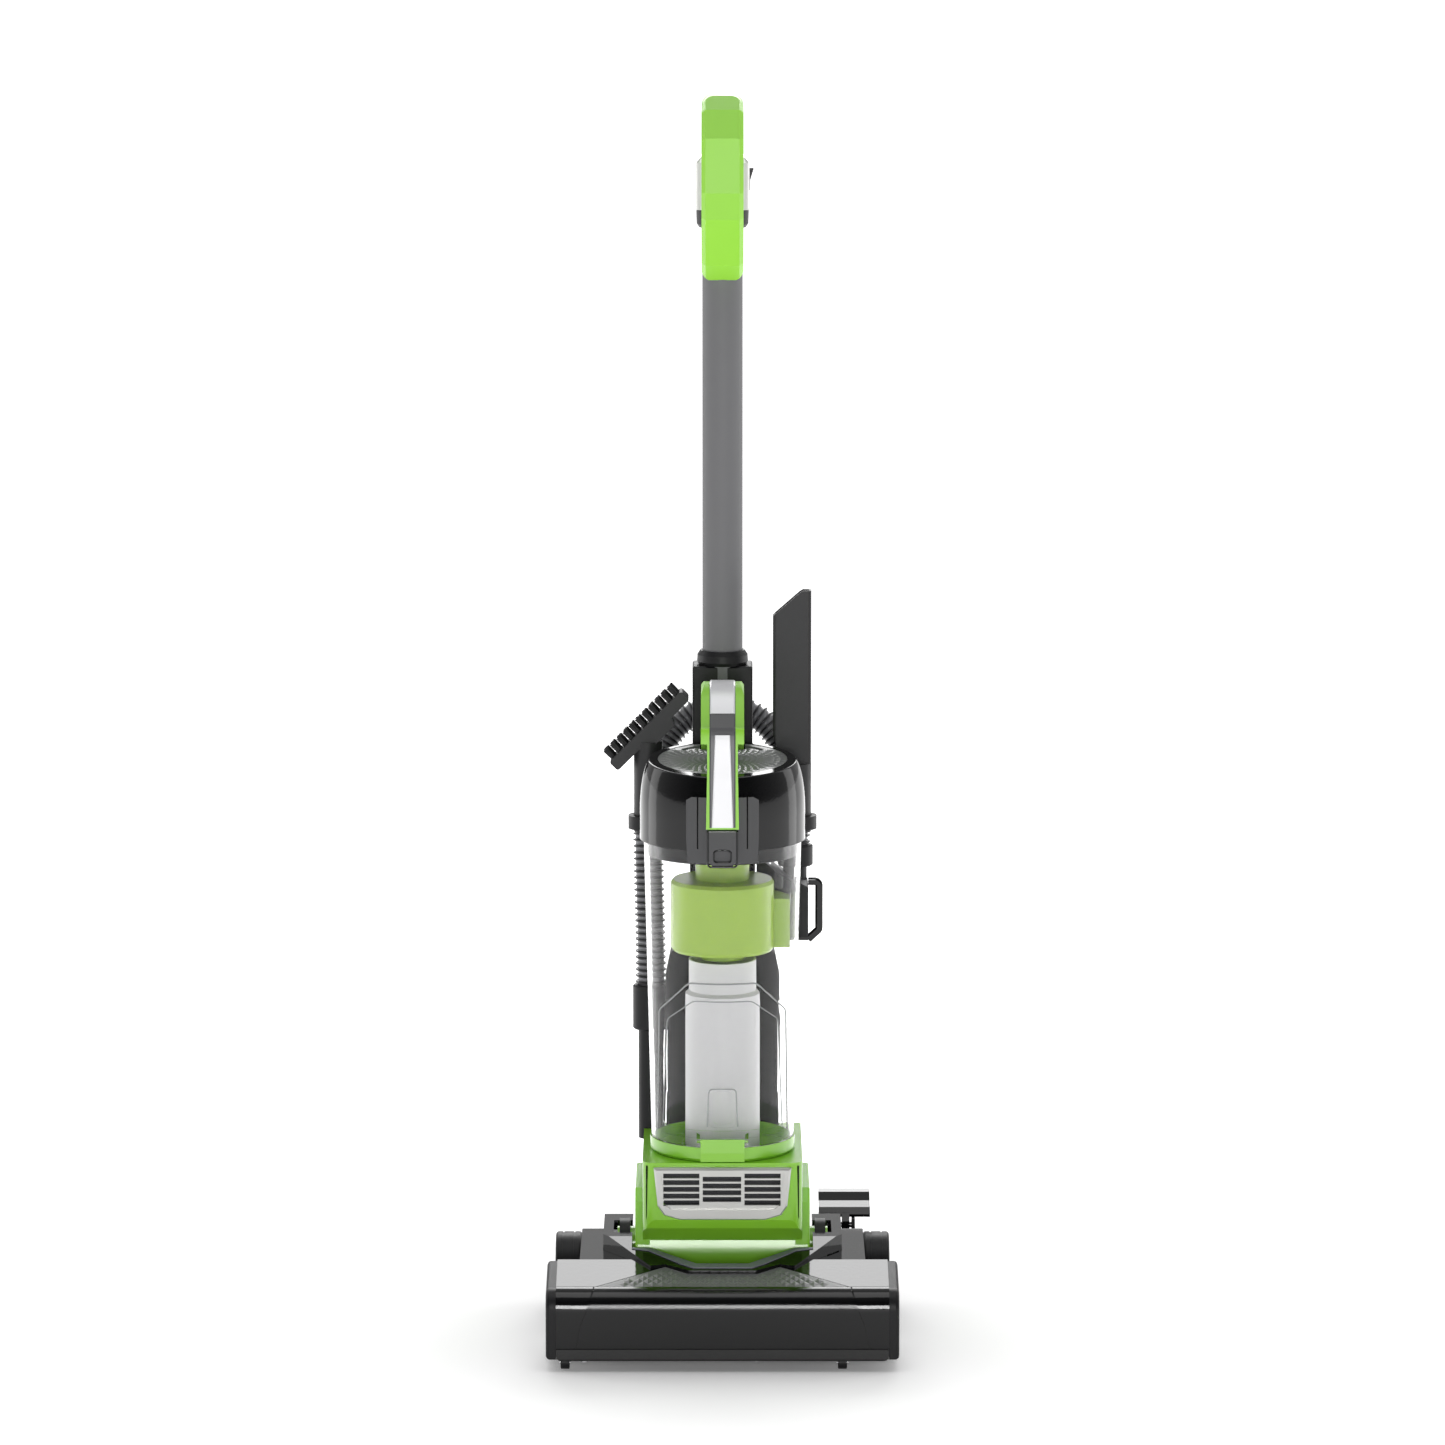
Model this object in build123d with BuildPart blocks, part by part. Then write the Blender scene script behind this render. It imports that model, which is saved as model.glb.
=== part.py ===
from build123d import *
import math
import os

# Compact upright vacuum cleaner with a clear dust cup, in millimetres.
# The front faces -Y, +X is to the right seen from the front and +Z is up.
# The origin is on the floor, under the middle of the whole machine.

# ------------------------------------------------------------- driving dimensions
OVERALL_HEIGHT = 1112.0
HEAD_HALF_WIDTH = 156.0
HEAD_FRONT = -150.0
PEDAL_BACK = 150.0
BAR_BACK = -70.0
WALL = 3.0

SOLE_Z = 9.0
FLOOR_Z = 11.0
CHASSIS_TOP = 58.0
COVER_BOTTOM = 21.0
END_CAP_WIDTH = 9.0
COVER_HALF = HEAD_HALF_WIDTH - END_CAP_WIDTH
REAR_HALF = 127.0
REAR_END = 118.0
WELL_HALF = 81.0
ARM_OUTER = 107.0
ARM_TOP = 95.0

PIVOT_Y = 10.0
PIVOT_Z = 80.0
TRUNNION_R = 15.0
DRUM_R = 62.0
DRUM_HALF = 78.0
BODY_HALF = 71.0
BODY_TOP = 176.2

BRUSH_Y = -108.0
BRUSH_Z = 33.0
BRUSH_CORE_R = 15.0
BRISTLE_R = 21.4
CHAMBER_R = 27.0
BELT_X = 99.0
BRUSH_PULLEY_R = 11.0
MOTOR_PULLEY_R = 7.0

WHEEL_R = 35.5
WHEEL_Y = 90.0
WHEEL_X = 140.0
WHEEL_WIDTH = 24.0
ROLLER_R = 6.0
ROLLER_Y = -137.5
ROLLER_LEFT_X = -139.0
ROLLER_RIGHT_X = 106.0

CUP_Y = -30.0
CUP_TOP_R = 70.0
CUP_BOTTOM_R = 63.5
CUP_TOP_Z = 457.5
CUP_BOTTOM_Z = 189.5
CUP_WALL = 2.5
DOOR_Z = 176.5
LID_R = 73.4
LID_TILT = 5.0

SPINE_FRONT = 46.0
SPINE_BACK = 80.0
COLUMN_HALF = 27.0
COLUMN_BOTTOM = 440.0
COLUMN_TOP = 600.0
TUBE_Y = 62.0
TUBE_R = 18.0
TUBE_TOP = 1012.0
TUBE_BOTTOM = 502.0

HOSE_R = 12.5
HOSE_X = 68.0
HOSE_Y = 60.0
RIGHT_CUFF_Z = (417.0, 436.0)
LEFT_CUFF_Z = (267.0, 307.5)
TOOL_X = 66.5
TOOL_Y = 30.0
TOOL_NECK_R = 13.0
HOLDER_Z = (456.0, 468.0)

CUP_AXIS = Axis((0, CUP_Y, 0), (0, 0, 1))
CUP_PLANE = Plane((0, CUP_Y, 0), x_dir=(1, 0, 0), z_dir=(0, -1, 0))

os.makedirs("parts", exist_ok=True)


def save(piece, label):
    """Name a finished piece and write it as its own STEP file."""
    piece.part.label = label
    export_step(piece.part, f"parts/{label}.step")


def cup_radius(z):
    """Outer radius of the tapered cup at height z."""
    share = (z - CUP_BOTTOM_Z) / (CUP_TOP_Z - CUP_BOTTOM_Z)
    return CUP_BOTTOM_R + (CUP_TOP_R - CUP_BOTTOM_R) * share


def polygon(points, plane):
    """A flat face with straight sides on the given plane."""
    with BuildSketch(plane) as face:
        with BuildLine():
            Polyline(*points, close=True)
        make_face()
    return face.sketch


# ------------------------------------------------------------------ floor head
def bar_section(inset, bottom):
    """Side outline of the nozzle bar, pulled in by inset, down to bottom."""
    with BuildSketch(Plane.YZ) as section:
        with BuildLine():
            Line((HEAD_FRONT + inset, bottom), (HEAD_FRONT + inset, 54))
            ThreePointArc(
                (HEAD_FRONT + inset, 54),
                (-144.5 + 0.7 * inset, 67.5 - 0.7 * inset),
                (-130 + 0.2 * inset, 72.5 - inset),
            )
            Line((-130 + 0.2 * inset, 72.5 - inset), (BAR_BACK - inset, 83 - inset))
            Line((BAR_BACK - inset, 83 - inset), (BAR_BACK - inset, bottom))
            Line((BAR_BACK - inset, bottom), (HEAD_FRONT + inset, bottom))
        make_face()
    return section.sketch


def panel_blank(grow, depth):
    """The textured centre panel's band of the bar skin, widened by grow."""
    top_outline = [
        (-46 - grow, BAR_BACK - 13),
        (-112 - grow, -131),
        (-112 - grow, -160),
        (112 + grow, -160),
        (112 + grow, -131),
        (46 + grow, BAR_BACK - 13),
    ]
    front_outline = [
        (-113 - grow, 73),
        (-117 - grow, 62),
        (-125 - grow, 42),
        (-129 - grow, COVER_BOTTOM),
        (129 + grow, COVER_BOTTOM),
        (125 + grow, 42),
        (117 + grow, 62),
        (113 + grow, 73),
    ]
    with BuildPart() as skin:
        extrude(bar_section(0, COVER_BOTTOM), amount=COVER_HALF - 5, both=True)
        extrude(bar_section(depth, 0), amount=COVER_HALF, both=True, mode=Mode.SUBTRACT)
    with BuildPart() as region:
        extrude(polygon(top_outline, Plane.XY.offset(50)), amount=50)
        extrude(polygon(front_outline, Plane.XZ.offset(131)), amount=30)
    return skin.part & region.part


# Raised V-shaped deck: its outline in plan, and the opening that clears the motor drum
DECK_OUTLINE = [
    (-ARM_OUTER, 92),
    (-ARM_OUTER, -22),
    (-64, -90),
    (-51, -86),
    (-30, -102),
    (30, -102),
    (51, -86),
    (64, -90),
    (ARM_OUTER, -22),
    (ARM_OUTER, 92),
]
DECK_OPENING = [
    (-WELL_HALF, 120),
    (-WELL_HALF, -56),
    (-66, -60),
    (-26, -97),
    (26, -97),
    (66, -60),
    (WELL_HALF, -56),
    (WELL_HALF, 120),
]
TRIM_OPENING = [
    (-WELL_HALF, 120),
    (-WELL_HALF, -52.5),
    (-64, -56),
    (-23, -87),
    (23, -87),
    (64, -56),
    (WELL_HALF, -52.5),
    (WELL_HALF, 120),
]


def deck_side(rise, bottom):
    """Side outline of the raised deck, lifted by rise."""
    return polygon(
        [
            (-103, bottom),
            (-103, 80.5 + rise),
            (-86, 82.5 + rise),
            (-30, ARM_TOP + rise),
            (60, ARM_TOP + rise),
            (125, ARM_TOP - 12 + rise),
            (125, bottom),
        ],
        Plane.YZ,
    )


# Chassis: lower tub of the head, with the brush chamber, two arms and the drum well
BELT_RUN = [
    (BRUSH_Y, BRUSH_Z),
    (PIVOT_Y, PIVOT_Z),
]
with BuildPart() as head_chassis:
    with BuildSketch(Plane.XY.offset(FLOOR_Z)):
        with BuildLine():
            Polyline(
                (-143.5, -146.5), (143.5, -146.5), (143.5, -73.5), (REAR_HALF, -73.5),
                (REAR_HALF, REAR_END), (84, REAR_END), (84, 62), (-84, 62),
                (-84, REAR_END), (-REAR_HALF, REAR_END), (-REAR_HALF, -73.5),
                (-143.5, -73.5), close=True,
            )
        make_face()
    extrude(amount=CHASSIS_TOP - FLOOR_Z)
    with BuildSketch(Plane.XY.offset(FLOOR_Z + WALL)):
        with Locations((0, -109.5)):
            Rectangle(281, 68)
        with Locations((105.5, 25), (-105.5, 25)):
            Rectangle(37, 180)
        with Locations((0, 5)):
            Rectangle(2 * WELL_HALF, 122)
    extrude(amount=60, mode=Mode.SUBTRACT)
    with BuildSketch(Plane.YZ):
        with Locations((BRUSH_Y, BRUSH_Z)):
            Circle(CHAMBER_R + 2.5)
    extrude(amount=137, both=True)
    with BuildSketch(Plane.YZ):
        with Locations((BRUSH_Y, BRUSH_Z)):
            Circle(CHAMBER_R)
    extrude(amount=134, both=True, mode=Mode.SUBTRACT)
    with Locations((0, BRUSH_Y, 12)):
        Box(256, 44, 26, mode=Mode.SUBTRACT)
    with Locations((0, 0, FLOOR_Z - 10)):
        Box(400, 400, 20, mode=Mode.SUBTRACT)
    with BuildSketch(Plane.YZ.offset(BELT_X - 5)):
        with Locations(BELT_RUN[0]):
            Circle(BRUSH_PULLEY_R + 5)
        with Locations(BELT_RUN[1]):
            Circle(MOTOR_PULLEY_R + 6)
        make_hull()
    extrude(amount=10, mode=Mode.SUBTRACT)
    with Locations((-105, -76, 36)):
        Box(20, 28, 20, mode=Mode.SUBTRACT)
    with BuildSketch(Plane.YZ):
        with Locations((WHEEL_Y, WHEEL_R)):
            Circle(9)
    extrude(amount=REAR_HALF, both=True)
    with Locations((0, 90, 40)):
        Box(2 * 112, 80, 60, mode=Mode.SUBTRACT)
    with BuildSketch(Plane.XY.offset(FLOOR_Z)):
        with Locations((0, 36)):
            Rectangle(2 * WELL_HALF + 6, 52)
    extrude(amount=WALL)
    with BuildSketch(Plane.XY.offset(FLOOR_Z)):
        with Locations((99.5, 84), (-99.5, 84)):
            Rectangle(31, 68)
    extrude(amount=WALL)
    with BuildSketch(Plane.XY.offset(FLOOR_Z)):
        with Locations((85.5, 84), (-85.5, 84)):
            Rectangle(WALL, 68)
        with Locations((99.5, REAR_END - 1.5), (-99.5, REAR_END - 1.5)):
            Rectangle(31, WALL)
    extrude(amount=CHASSIS_TOP - FLOOR_Z)
    for x in (105.5, 119.5):
        with BuildSketch(Plane.YZ.offset(x - 1.5)):
            with BuildLine():
                Polyline((94, 40), (94, 76), (98, 81.5), (108, 81.5), (112, 76), (112, 40), close=True)
            make_face()
            with Locations((103, 75)):
                Circle(2.6, mode=Mode.SUBTRACT)
        extrude(amount=3)
    with Locations((112.5, 103, 41)):
        Box(17, 18, 2)
    with BuildSketch(Plane.YZ):
        with Locations((WHEEL_Y, WHEEL_R)):
            Circle(4)
    extrude(amount=200, both=True, mode=Mode.SUBTRACT)
    for x in (ROLLER_LEFT_X, ROLLER_RIGHT_X):
        with Locations((x, ROLLER_Y, FLOOR_Z)):
            Box(9.6, 13.6, 9, mode=Mode.SUBTRACT)
save(head_chassis, "head_chassis")

# Sole plate: closes the underside and frames the brush mouth
with BuildPart() as sole_plate:
    with BuildSketch(Plane.XY.offset(SOLE_Z)):
        with Locations((0, -110)):
            RectangleRounded(291, 73, 5)
        with Locations((0, BRUSH_Y)):
            RectangleRounded(256, 44, 4, mode=Mode.SUBTRACT)
        with Locations((-64, BRUSH_Y), (0, BRUSH_Y), (64, BRUSH_Y)):
            Rectangle(4, 46)
        for x in (ROLLER_LEFT_X, ROLLER_RIGHT_X):
            with Locations((x, ROLLER_Y)):
                Rectangle(9.6, 13.6, mode=Mode.SUBTRACT)
        with Locations((-136, -84), (136, -84), (136, -124), (-122, -140), (0, -79.5), (30, -138)):
            Circle(1.6, mode=Mode.SUBTRACT)
    extrude(amount=FLOOR_Z - SOLE_Z)
save(sole_plate, "sole_plate")

# Screws that hold the sole plate
with BuildPart() as head_screws:
    with Locations(
        (-136, -84, 0), (136, -84, 0), (136, -124, 0),
        (-122, -140, 0), (0, -79.5, 0), (30, -138, 0),
    ):
        with Locations((0, 0, SOLE_Z - 0.9)):
            Cylinder(3.2, 1.8)
        with Locations((0, 0, (SOLE_Z + FLOOR_Z) / 2)):
            Cylinder(1.5, FLOOR_Z - SOLE_Z)
save(head_screws, "head_screws")

# Glossy nozzle cover with two wings that run back beside the arms
with BuildPart() as nozzle_cover:
    extrude(bar_section(0, COVER_BOTTOM), amount=COVER_HALF, both=True)
    with BuildSketch(Plane.XY.offset(CHASSIS_TOP + 0.2)):
        with Locations((102.5, -5), (-102.5, -5)):
            Rectangle(50, 140)
    extrude(amount=22)
    extrude(bar_section(WALL, 0), amount=COVER_HALF - WALL, both=True, mode=Mode.SUBTRACT)
    with BuildSketch(Plane.XY.offset(CHASSIS_TOP)):
        with Locations((117.5, -7), (-117.5, -7)):
            Rectangle(14, 138)
    extrude(amount=19, mode=Mode.SUBTRACT)
    with Locations((0, BAR_BACK - 2, CHASSIS_TOP - 49.7)):
        Box(2 * REAR_HALF + 0.6, 12, 100, mode=Mode.SUBTRACT)
    add(panel_blank(1.2, 2), mode=Mode.SUBTRACT)
    with BuildSketch(Plane.XY.offset(CHASSIS_TOP - 1)):
        with BuildLine():
            Polyline(*DECK_OUTLINE, close=True)
        make_face()
        offset(amount=0.3)
    extrude(amount=60, mode=Mode.SUBTRACT)
    with Locations((0, -40, CHASSIS_TOP - 30)):
        Box(2 * ARM_OUTER, 70, 100, mode=Mode.SUBTRACT)
    with Locations((0, -40, CHASSIS_TOP)):
        Box(120, 70, 100, mode=Mode.SUBTRACT)
    with Locations((0, 30, CHASSIS_TOP)):
        Box(2 * ARM_OUTER + 0.6, 90, 100, mode=Mode.SUBTRACT)
save(nozzle_cover, "nozzle_cover")

# Textured centre panel let into the cover
with BuildPart() as deck_panel:
    add(panel_blank(0, 1.9))
    with BuildSketch(Plane.XY.offset(50)):
        with BuildLine():
            Polyline(*DECK_OUTLINE, close=True)
        make_face()
        offset(amount=0.5)
    extrude(amount=60, mode=Mode.SUBTRACT)
save(deck_panel, "deck_panel")

# End caps of the nozzle bar
with BuildPart() as end_cap_right:
    extrude(bar_section(1, FLOOR_Z).moved(Location((COVER_HALF, 0, 0))), amount=END_CAP_WIDTH)
    fillet(end_cap_right.faces().sort_by(Axis.X)[-1].edges(), radius=3.5)
save(end_cap_right, "end_cap_right")
with BuildPart() as end_cap_left:
    add(mirror(end_cap_right.part, about=Plane.YZ))
save(end_cap_left, "end_cap_left")

# Soft bumper strip along the foot of the cover
with BuildPart() as front_bumper:
    with BuildSketch(Plane.XY.offset(FLOOR_Z)):
        with Locations((0, HEAD_FRONT + 1.7)):
            Rectangle(2 * COVER_HALF - 0.6, 3.4)
    extrude(amount=COVER_BOTTOM - FLOOR_Z - 0.4)
    fillet(front_bumper.edges().filter_by(Axis.X).group_by(Axis.Y)[0], radius=1.2)
save(front_bumper, "front_bumper")

# Raised V-shaped deck over the two arms
with BuildPart() as rear_deck:
    extrude(polygon(DECK_OUTLINE, Plane.XY.offset(CHASSIS_TOP + 0.3)), amount=60)
    extrude(deck_side(0, 40), amount=200, both=True, mode=Mode.INTERSECT)
    extrude(polygon(DECK_OPENING, Plane.XY.offset(40)), amount=80, mode=Mode.SUBTRACT)
    with BuildSketch(Plane.XY.offset(CHASSIS_TOP)):
        with Locations((95.5, 34.5), (-95.5, 34.5)):
            Rectangle(17, 109)
    extrude(amount=ARM_TOP - CHASSIS_TOP - WALL - 2, mode=Mode.SUBTRACT)
    with Locations((BELT_X, -32, CHASSIS_TOP + 10)):
        Box(11, 32, 26, mode=Mode.SUBTRACT)
    with Locations((89, PIVOT_Y, 80), (-89, PIVOT_Y, 80)):
        Box(18, 48, 60, mode=Mode.SUBTRACT)
    for side in (-1, 1):
        with BuildSketch(Plane.XY.offset(CHASSIS_TOP)):
            with BuildLine():
                Polyline(
                    (side * 84, -40), (side * 103, -24), (side * 63, -85), (side * 66, -62), close=True,
                )
            make_face()
        extrude(amount=22, mode=Mode.SUBTRACT)
    with BuildSketch(Plane.YZ):
        with Locations((BRUSH_Y, BRUSH_Z)):
            Circle(CHAMBER_R + 3)
    extrude(amount=150, both=True, mode=Mode.SUBTRACT)
save(rear_deck, "rear_deck")

# Pale trim strip round the front of the drum opening
with BuildPart() as deck_trim:
    extrude(polygon(DECK_OPENING, Plane.XY.offset(CHASSIS_TOP + 0.3)), amount=60)
    extrude(deck_side(1, 40), amount=200, both=True, mode=Mode.INTERSECT)
    extrude(polygon(TRIM_OPENING, Plane.XY.offset(40)), amount=80, mode=Mode.SUBTRACT)
    with Locations((0, 60, 80)):
        Box(300, 230, 80, mode=Mode.SUBTRACT)
    with BuildSketch(Plane.YZ):
        with Locations((BRUSH_Y, BRUSH_Z)):
            Circle(CHAMBER_R + 3)
    extrude(amount=150, both=True, mode=Mode.SUBTRACT)
save(deck_trim, "deck_trim")

# Pivot brackets that carry the body's hollow trunnions
with BuildPart() as pivot_brackets:
    for x in (-92.5, 83):
        with BuildSketch(Plane.YZ.offset(x)):
            with Locations((PIVOT_Y, 47.2)):
                Rectangle(32, 66)
            with Locations((PIVOT_Y, PIVOT_Z)):
                Circle(22)
            with Locations((PIVOT_Y, PIVOT_Z)):
                Circle(TRUNNION_R + 0.05, mode=Mode.SUBTRACT)
        extrude(amount=9.5)
    with Locations((0, PIVOT_Y, 0)):
        Box(400, 60, 2 * (FLOOR_Z + WALL), mode=Mode.SUBTRACT)
    with Locations((83, PIVOT_Y, 35), (-83, PIVOT_Y, 35)):
        Box(8, 60, 46.2, mode=Mode.SUBTRACT)
save(pivot_brackets, "pivot_brackets")

# Suction duct in the left arm, from the brush chamber to the left trunnion
with BuildPart() as suction_duct:
    with Locations((-105, -28, 36)):
        Box(19, 98, 19)
    with Locations((-99.2, PIVOT_Y - 3, 60)):
        Box(9.2, 26, 59)
    with Locations((-105, -31, 36)):
        Box(15, 98, 15, mode=Mode.SUBTRACT)
    with Locations((-99.2, PIVOT_Y - 3, 60)):
        Box(6.2, 23, 56, mode=Mode.SUBTRACT)
    with BuildSketch(Plane.YZ.offset(-97)):
        with Locations((PIVOT_Y, PIVOT_Z - 2)):
            Circle(9)
    extrude(amount=4, mode=Mode.SUBTRACT)
save(suction_duct, "suction_duct")

# Axles of the rear wheels and pins of the small front rollers
with BuildPart() as axle_pins:
    for side in (-1, 1):
        with BuildSketch(Plane.YZ.offset(side * (WHEEL_X + 13.5))):
            with Locations((WHEEL_Y, WHEEL_R)):
                Circle(4)
        extrude(amount=-side * 37)
    for x in (ROLLER_LEFT_X, ROLLER_RIGHT_X):
        with BuildSketch(Plane.YZ.offset(x)):
            with Locations((ROLLER_Y, ROLLER_R)):
                Circle(1.5)
        extrude(amount=4.7, both=True)
save(axle_pins, "axle_pins")

# Ball bearings at the brush ends
with BuildPart() as brush_bearings:
    for x in (-133.9, 127.9):
        with BuildSketch(Plane.YZ.offset(x)):
            with Locations((BRUSH_Y, BRUSH_Z)):
                Circle(9)
                Circle(4.05, mode=Mode.SUBTRACT)
        extrude(amount=6)
save(brush_bearings, "brush_bearings")

# Flat drive belt between the motor pulley and the brush
with BuildPart() as drive_belt:
    with BuildSketch(Plane.YZ.offset(BELT_X - 3)):
        with Locations(BELT_RUN[0]):
            Circle(BRUSH_PULLEY_R + 1.9)
        with Locations(BELT_RUN[1]):
            Circle(MOTOR_PULLEY_R + 1.9)
        make_hull()
    extrude(amount=6)
    with BuildSketch(Plane.YZ.offset(BELT_X - 4)):
        with Locations(BELT_RUN[0]):
            Circle(BRUSH_PULLEY_R + 0.4)
        with Locations(BELT_RUN[1]):
            Circle(MOTOR_PULLEY_R + 0.4)
        make_hull()
    extrude(amount=8, mode=Mode.SUBTRACT)
save(drive_belt, "drive_belt")


# Rear wheels: dished hub with spokes and a grooved tread
def rear_wheel(side):
    """A rear wheel on the side given by -1 or 1."""
    inner = side * (WHEEL_X - WHEEL_WIDTH / 2)
    with BuildPart() as wheel:
        with BuildSketch(Plane.YZ.offset(inner)):
            with Locations((WHEEL_Y, WHEEL_R)):
                Circle(WHEEL_R)
                Circle(4.06, mode=Mode.SUBTRACT)
        extrude(amount=side * WHEEL_WIDTH)
        outer_face = wheel.faces().sort_by(Axis.X)[-1 if side > 0 else 0]
        inner_face = wheel.faces().sort_by(Axis.X)[0 if side > 0 else -1]
        rims = [
            face.edges().filter_by(GeomType.CIRCLE).sort_by(SortBy.RADIUS)[-1]
            for face in (outer_face, inner_face)
        ]
        fillet(rims, radius=3)
        with BuildSketch(Plane.YZ.offset(inner + side * WHEEL_WIDTH)):
            with Locations((WHEEL_Y, WHEEL_R)):
                Circle(29)
                Circle(9, mode=Mode.SUBTRACT)
        extrude(amount=-side * 5, mode=Mode.SUBTRACT)
        with BuildSketch(Plane.YZ.offset(inner + side * WHEEL_WIDTH)):
            with Locations((WHEEL_Y, WHEEL_R)):
                with PolarLocations(19, 6):
                    SlotOverall(15, 8)
        extrude(amount=-side * 14, mode=Mode.SUBTRACT)
        for offset_x in (-5, 5):
            with BuildSketch(Plane.YZ.offset(side * WHEEL_X + offset_x - 0.7)):
                with Locations((WHEEL_Y, WHEEL_R)):
                    Circle(WHEEL_R + 1)
                    Circle(WHEEL_R - 0.9, mode=Mode.SUBTRACT)
            extrude(amount=1.4, mode=Mode.SUBTRACT)
    return wheel


rear_wheel_left = rear_wheel(-1)
save(rear_wheel_left, "rear_wheel_left")
rear_wheel_right = rear_wheel(1)
save(rear_wheel_right, "rear_wheel_right")


def front_roller(x):
    """A small floor roller centred at x."""
    with BuildPart() as roller:
        with BuildSketch(Plane.YZ.offset(x)):
            with Locations((ROLLER_Y, ROLLER_R)):
                Circle(ROLLER_R)
                Circle(1.55, mode=Mode.SUBTRACT)
        extrude(amount=4, both=True)
        fillet(roller.edges().filter_by(lambda e: e.length > 30), radius=1)
    return roller


front_roller_left = front_roller(ROLLER_LEFT_X)
save(front_roller_left, "front_roller_left")
front_roller_right = front_roller(ROLLER_RIGHT_X)
save(front_roller_right, "front_roller_right")

# Brush roll: core with a belt groove, and two helical rows of tufts in sockets
TUFTS = 22
with BuildPart() as brush_bristles:
    for row in range(2):
        for i in range(TUFTS):
            x = -118 + i * 236 / (TUFTS - 1)
            if abs(x - BELT_X) < 9:
                continue
            turn = 180 * row + 300 * i / (TUFTS - 1)
            tuft = Plane((x, BRUSH_Y, BRUSH_Z), x_dir=(1, 0, 0),
                         z_dir=(0, math.cos(math.radians(turn)), math.sin(math.radians(turn))))
            with BuildSketch(tuft.offset(BRUSH_CORE_R - 4)):
                Circle(2.3)
            extrude(amount=BRISTLE_R - BRUSH_CORE_R + 4)
save(brush_bristles, "brush_bristles")

with BuildPart() as brush_core:
    with BuildSketch(Plane.YZ):
        with Locations((BRUSH_Y, BRUSH_Z)):
            Circle(BRUSH_CORE_R)
    extrude(amount=126, both=True)
    with BuildSketch(Plane.YZ):
        with Locations((BRUSH_Y, BRUSH_Z)):
            Circle(4)
    extrude(amount=133.6, both=True)
    with BuildSketch(Plane.YZ.offset(BELT_X - 4)):
        with Locations((BRUSH_Y, BRUSH_Z)):
            Circle(BRUSH_CORE_R + 1)
            Circle(BRUSH_PULLEY_R, mode=Mode.SUBTRACT)
    extrude(amount=8, mode=Mode.SUBTRACT)
    add(brush_bristles.part, mode=Mode.SUBTRACT)
save(brush_core, "brush_core")

# Handle release pedal: kinked foot plate on two ears, with its own stub pins
with BuildPart() as release_pedal:
    with BuildSketch(Plane.YZ.offset(88)):
        with BuildLine():
            Polyline(
                (106, 84), (112, 89.5), (128, 92), (140, 97.5), (PEDAL_BACK, 98.5),
                (PEDAL_BACK, 95.5), (141, 94), (129, 88.6), (114, 86), (108.5, 81), close=True,
            )
        make_face()
    extrude(amount=47)
    fillet(release_pedal.edges().filter_by(Axis.Z).group_by(Axis.Y)[-1], radius=1)
    with BuildSketch(Plane.YZ.offset(109)):
        with BuildLine():
            Polyline((99, 72), (99, 79), (106, 85), (116, 87), (112, 78), (108, 71), close=True)
        make_face()
    extrude(amount=7)
    with BuildSketch(Plane.YZ.offset(104.2)):
        with Locations((103, 75)):
            Circle(2.5)
    extrude(amount=16.6)
save(release_pedal, "release_pedal")

# ------------------------------------------------------------------ upright body
GRILLE_SLOPE = math.atan2(12, 52)
GRILLE_PLANE = Plane(
    (0, -89, 148),
    x_dir=(1, 0, 0),
    z_dir=(0, -math.cos(GRILLE_SLOPE), -math.sin(GRILLE_SLOPE)),
)


def body_section(inset):
    """Side outline of the motor housing above the drum."""
    return polygon(
        [
            (-95 + inset, BODY_TOP - inset),
            (-83 + inset, 122 + inset * 0.5),
            (-77 + inset, 113 + inset * 0.5),
            (-50 + inset, 96 + inset),
            (-20, 60),
            (45, 60),
            (68 - inset, 94),
            (76 - inset, 112),
            (76 - inset, BODY_TOP - inset),
        ],
        Plane.YZ,
    )


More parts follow.
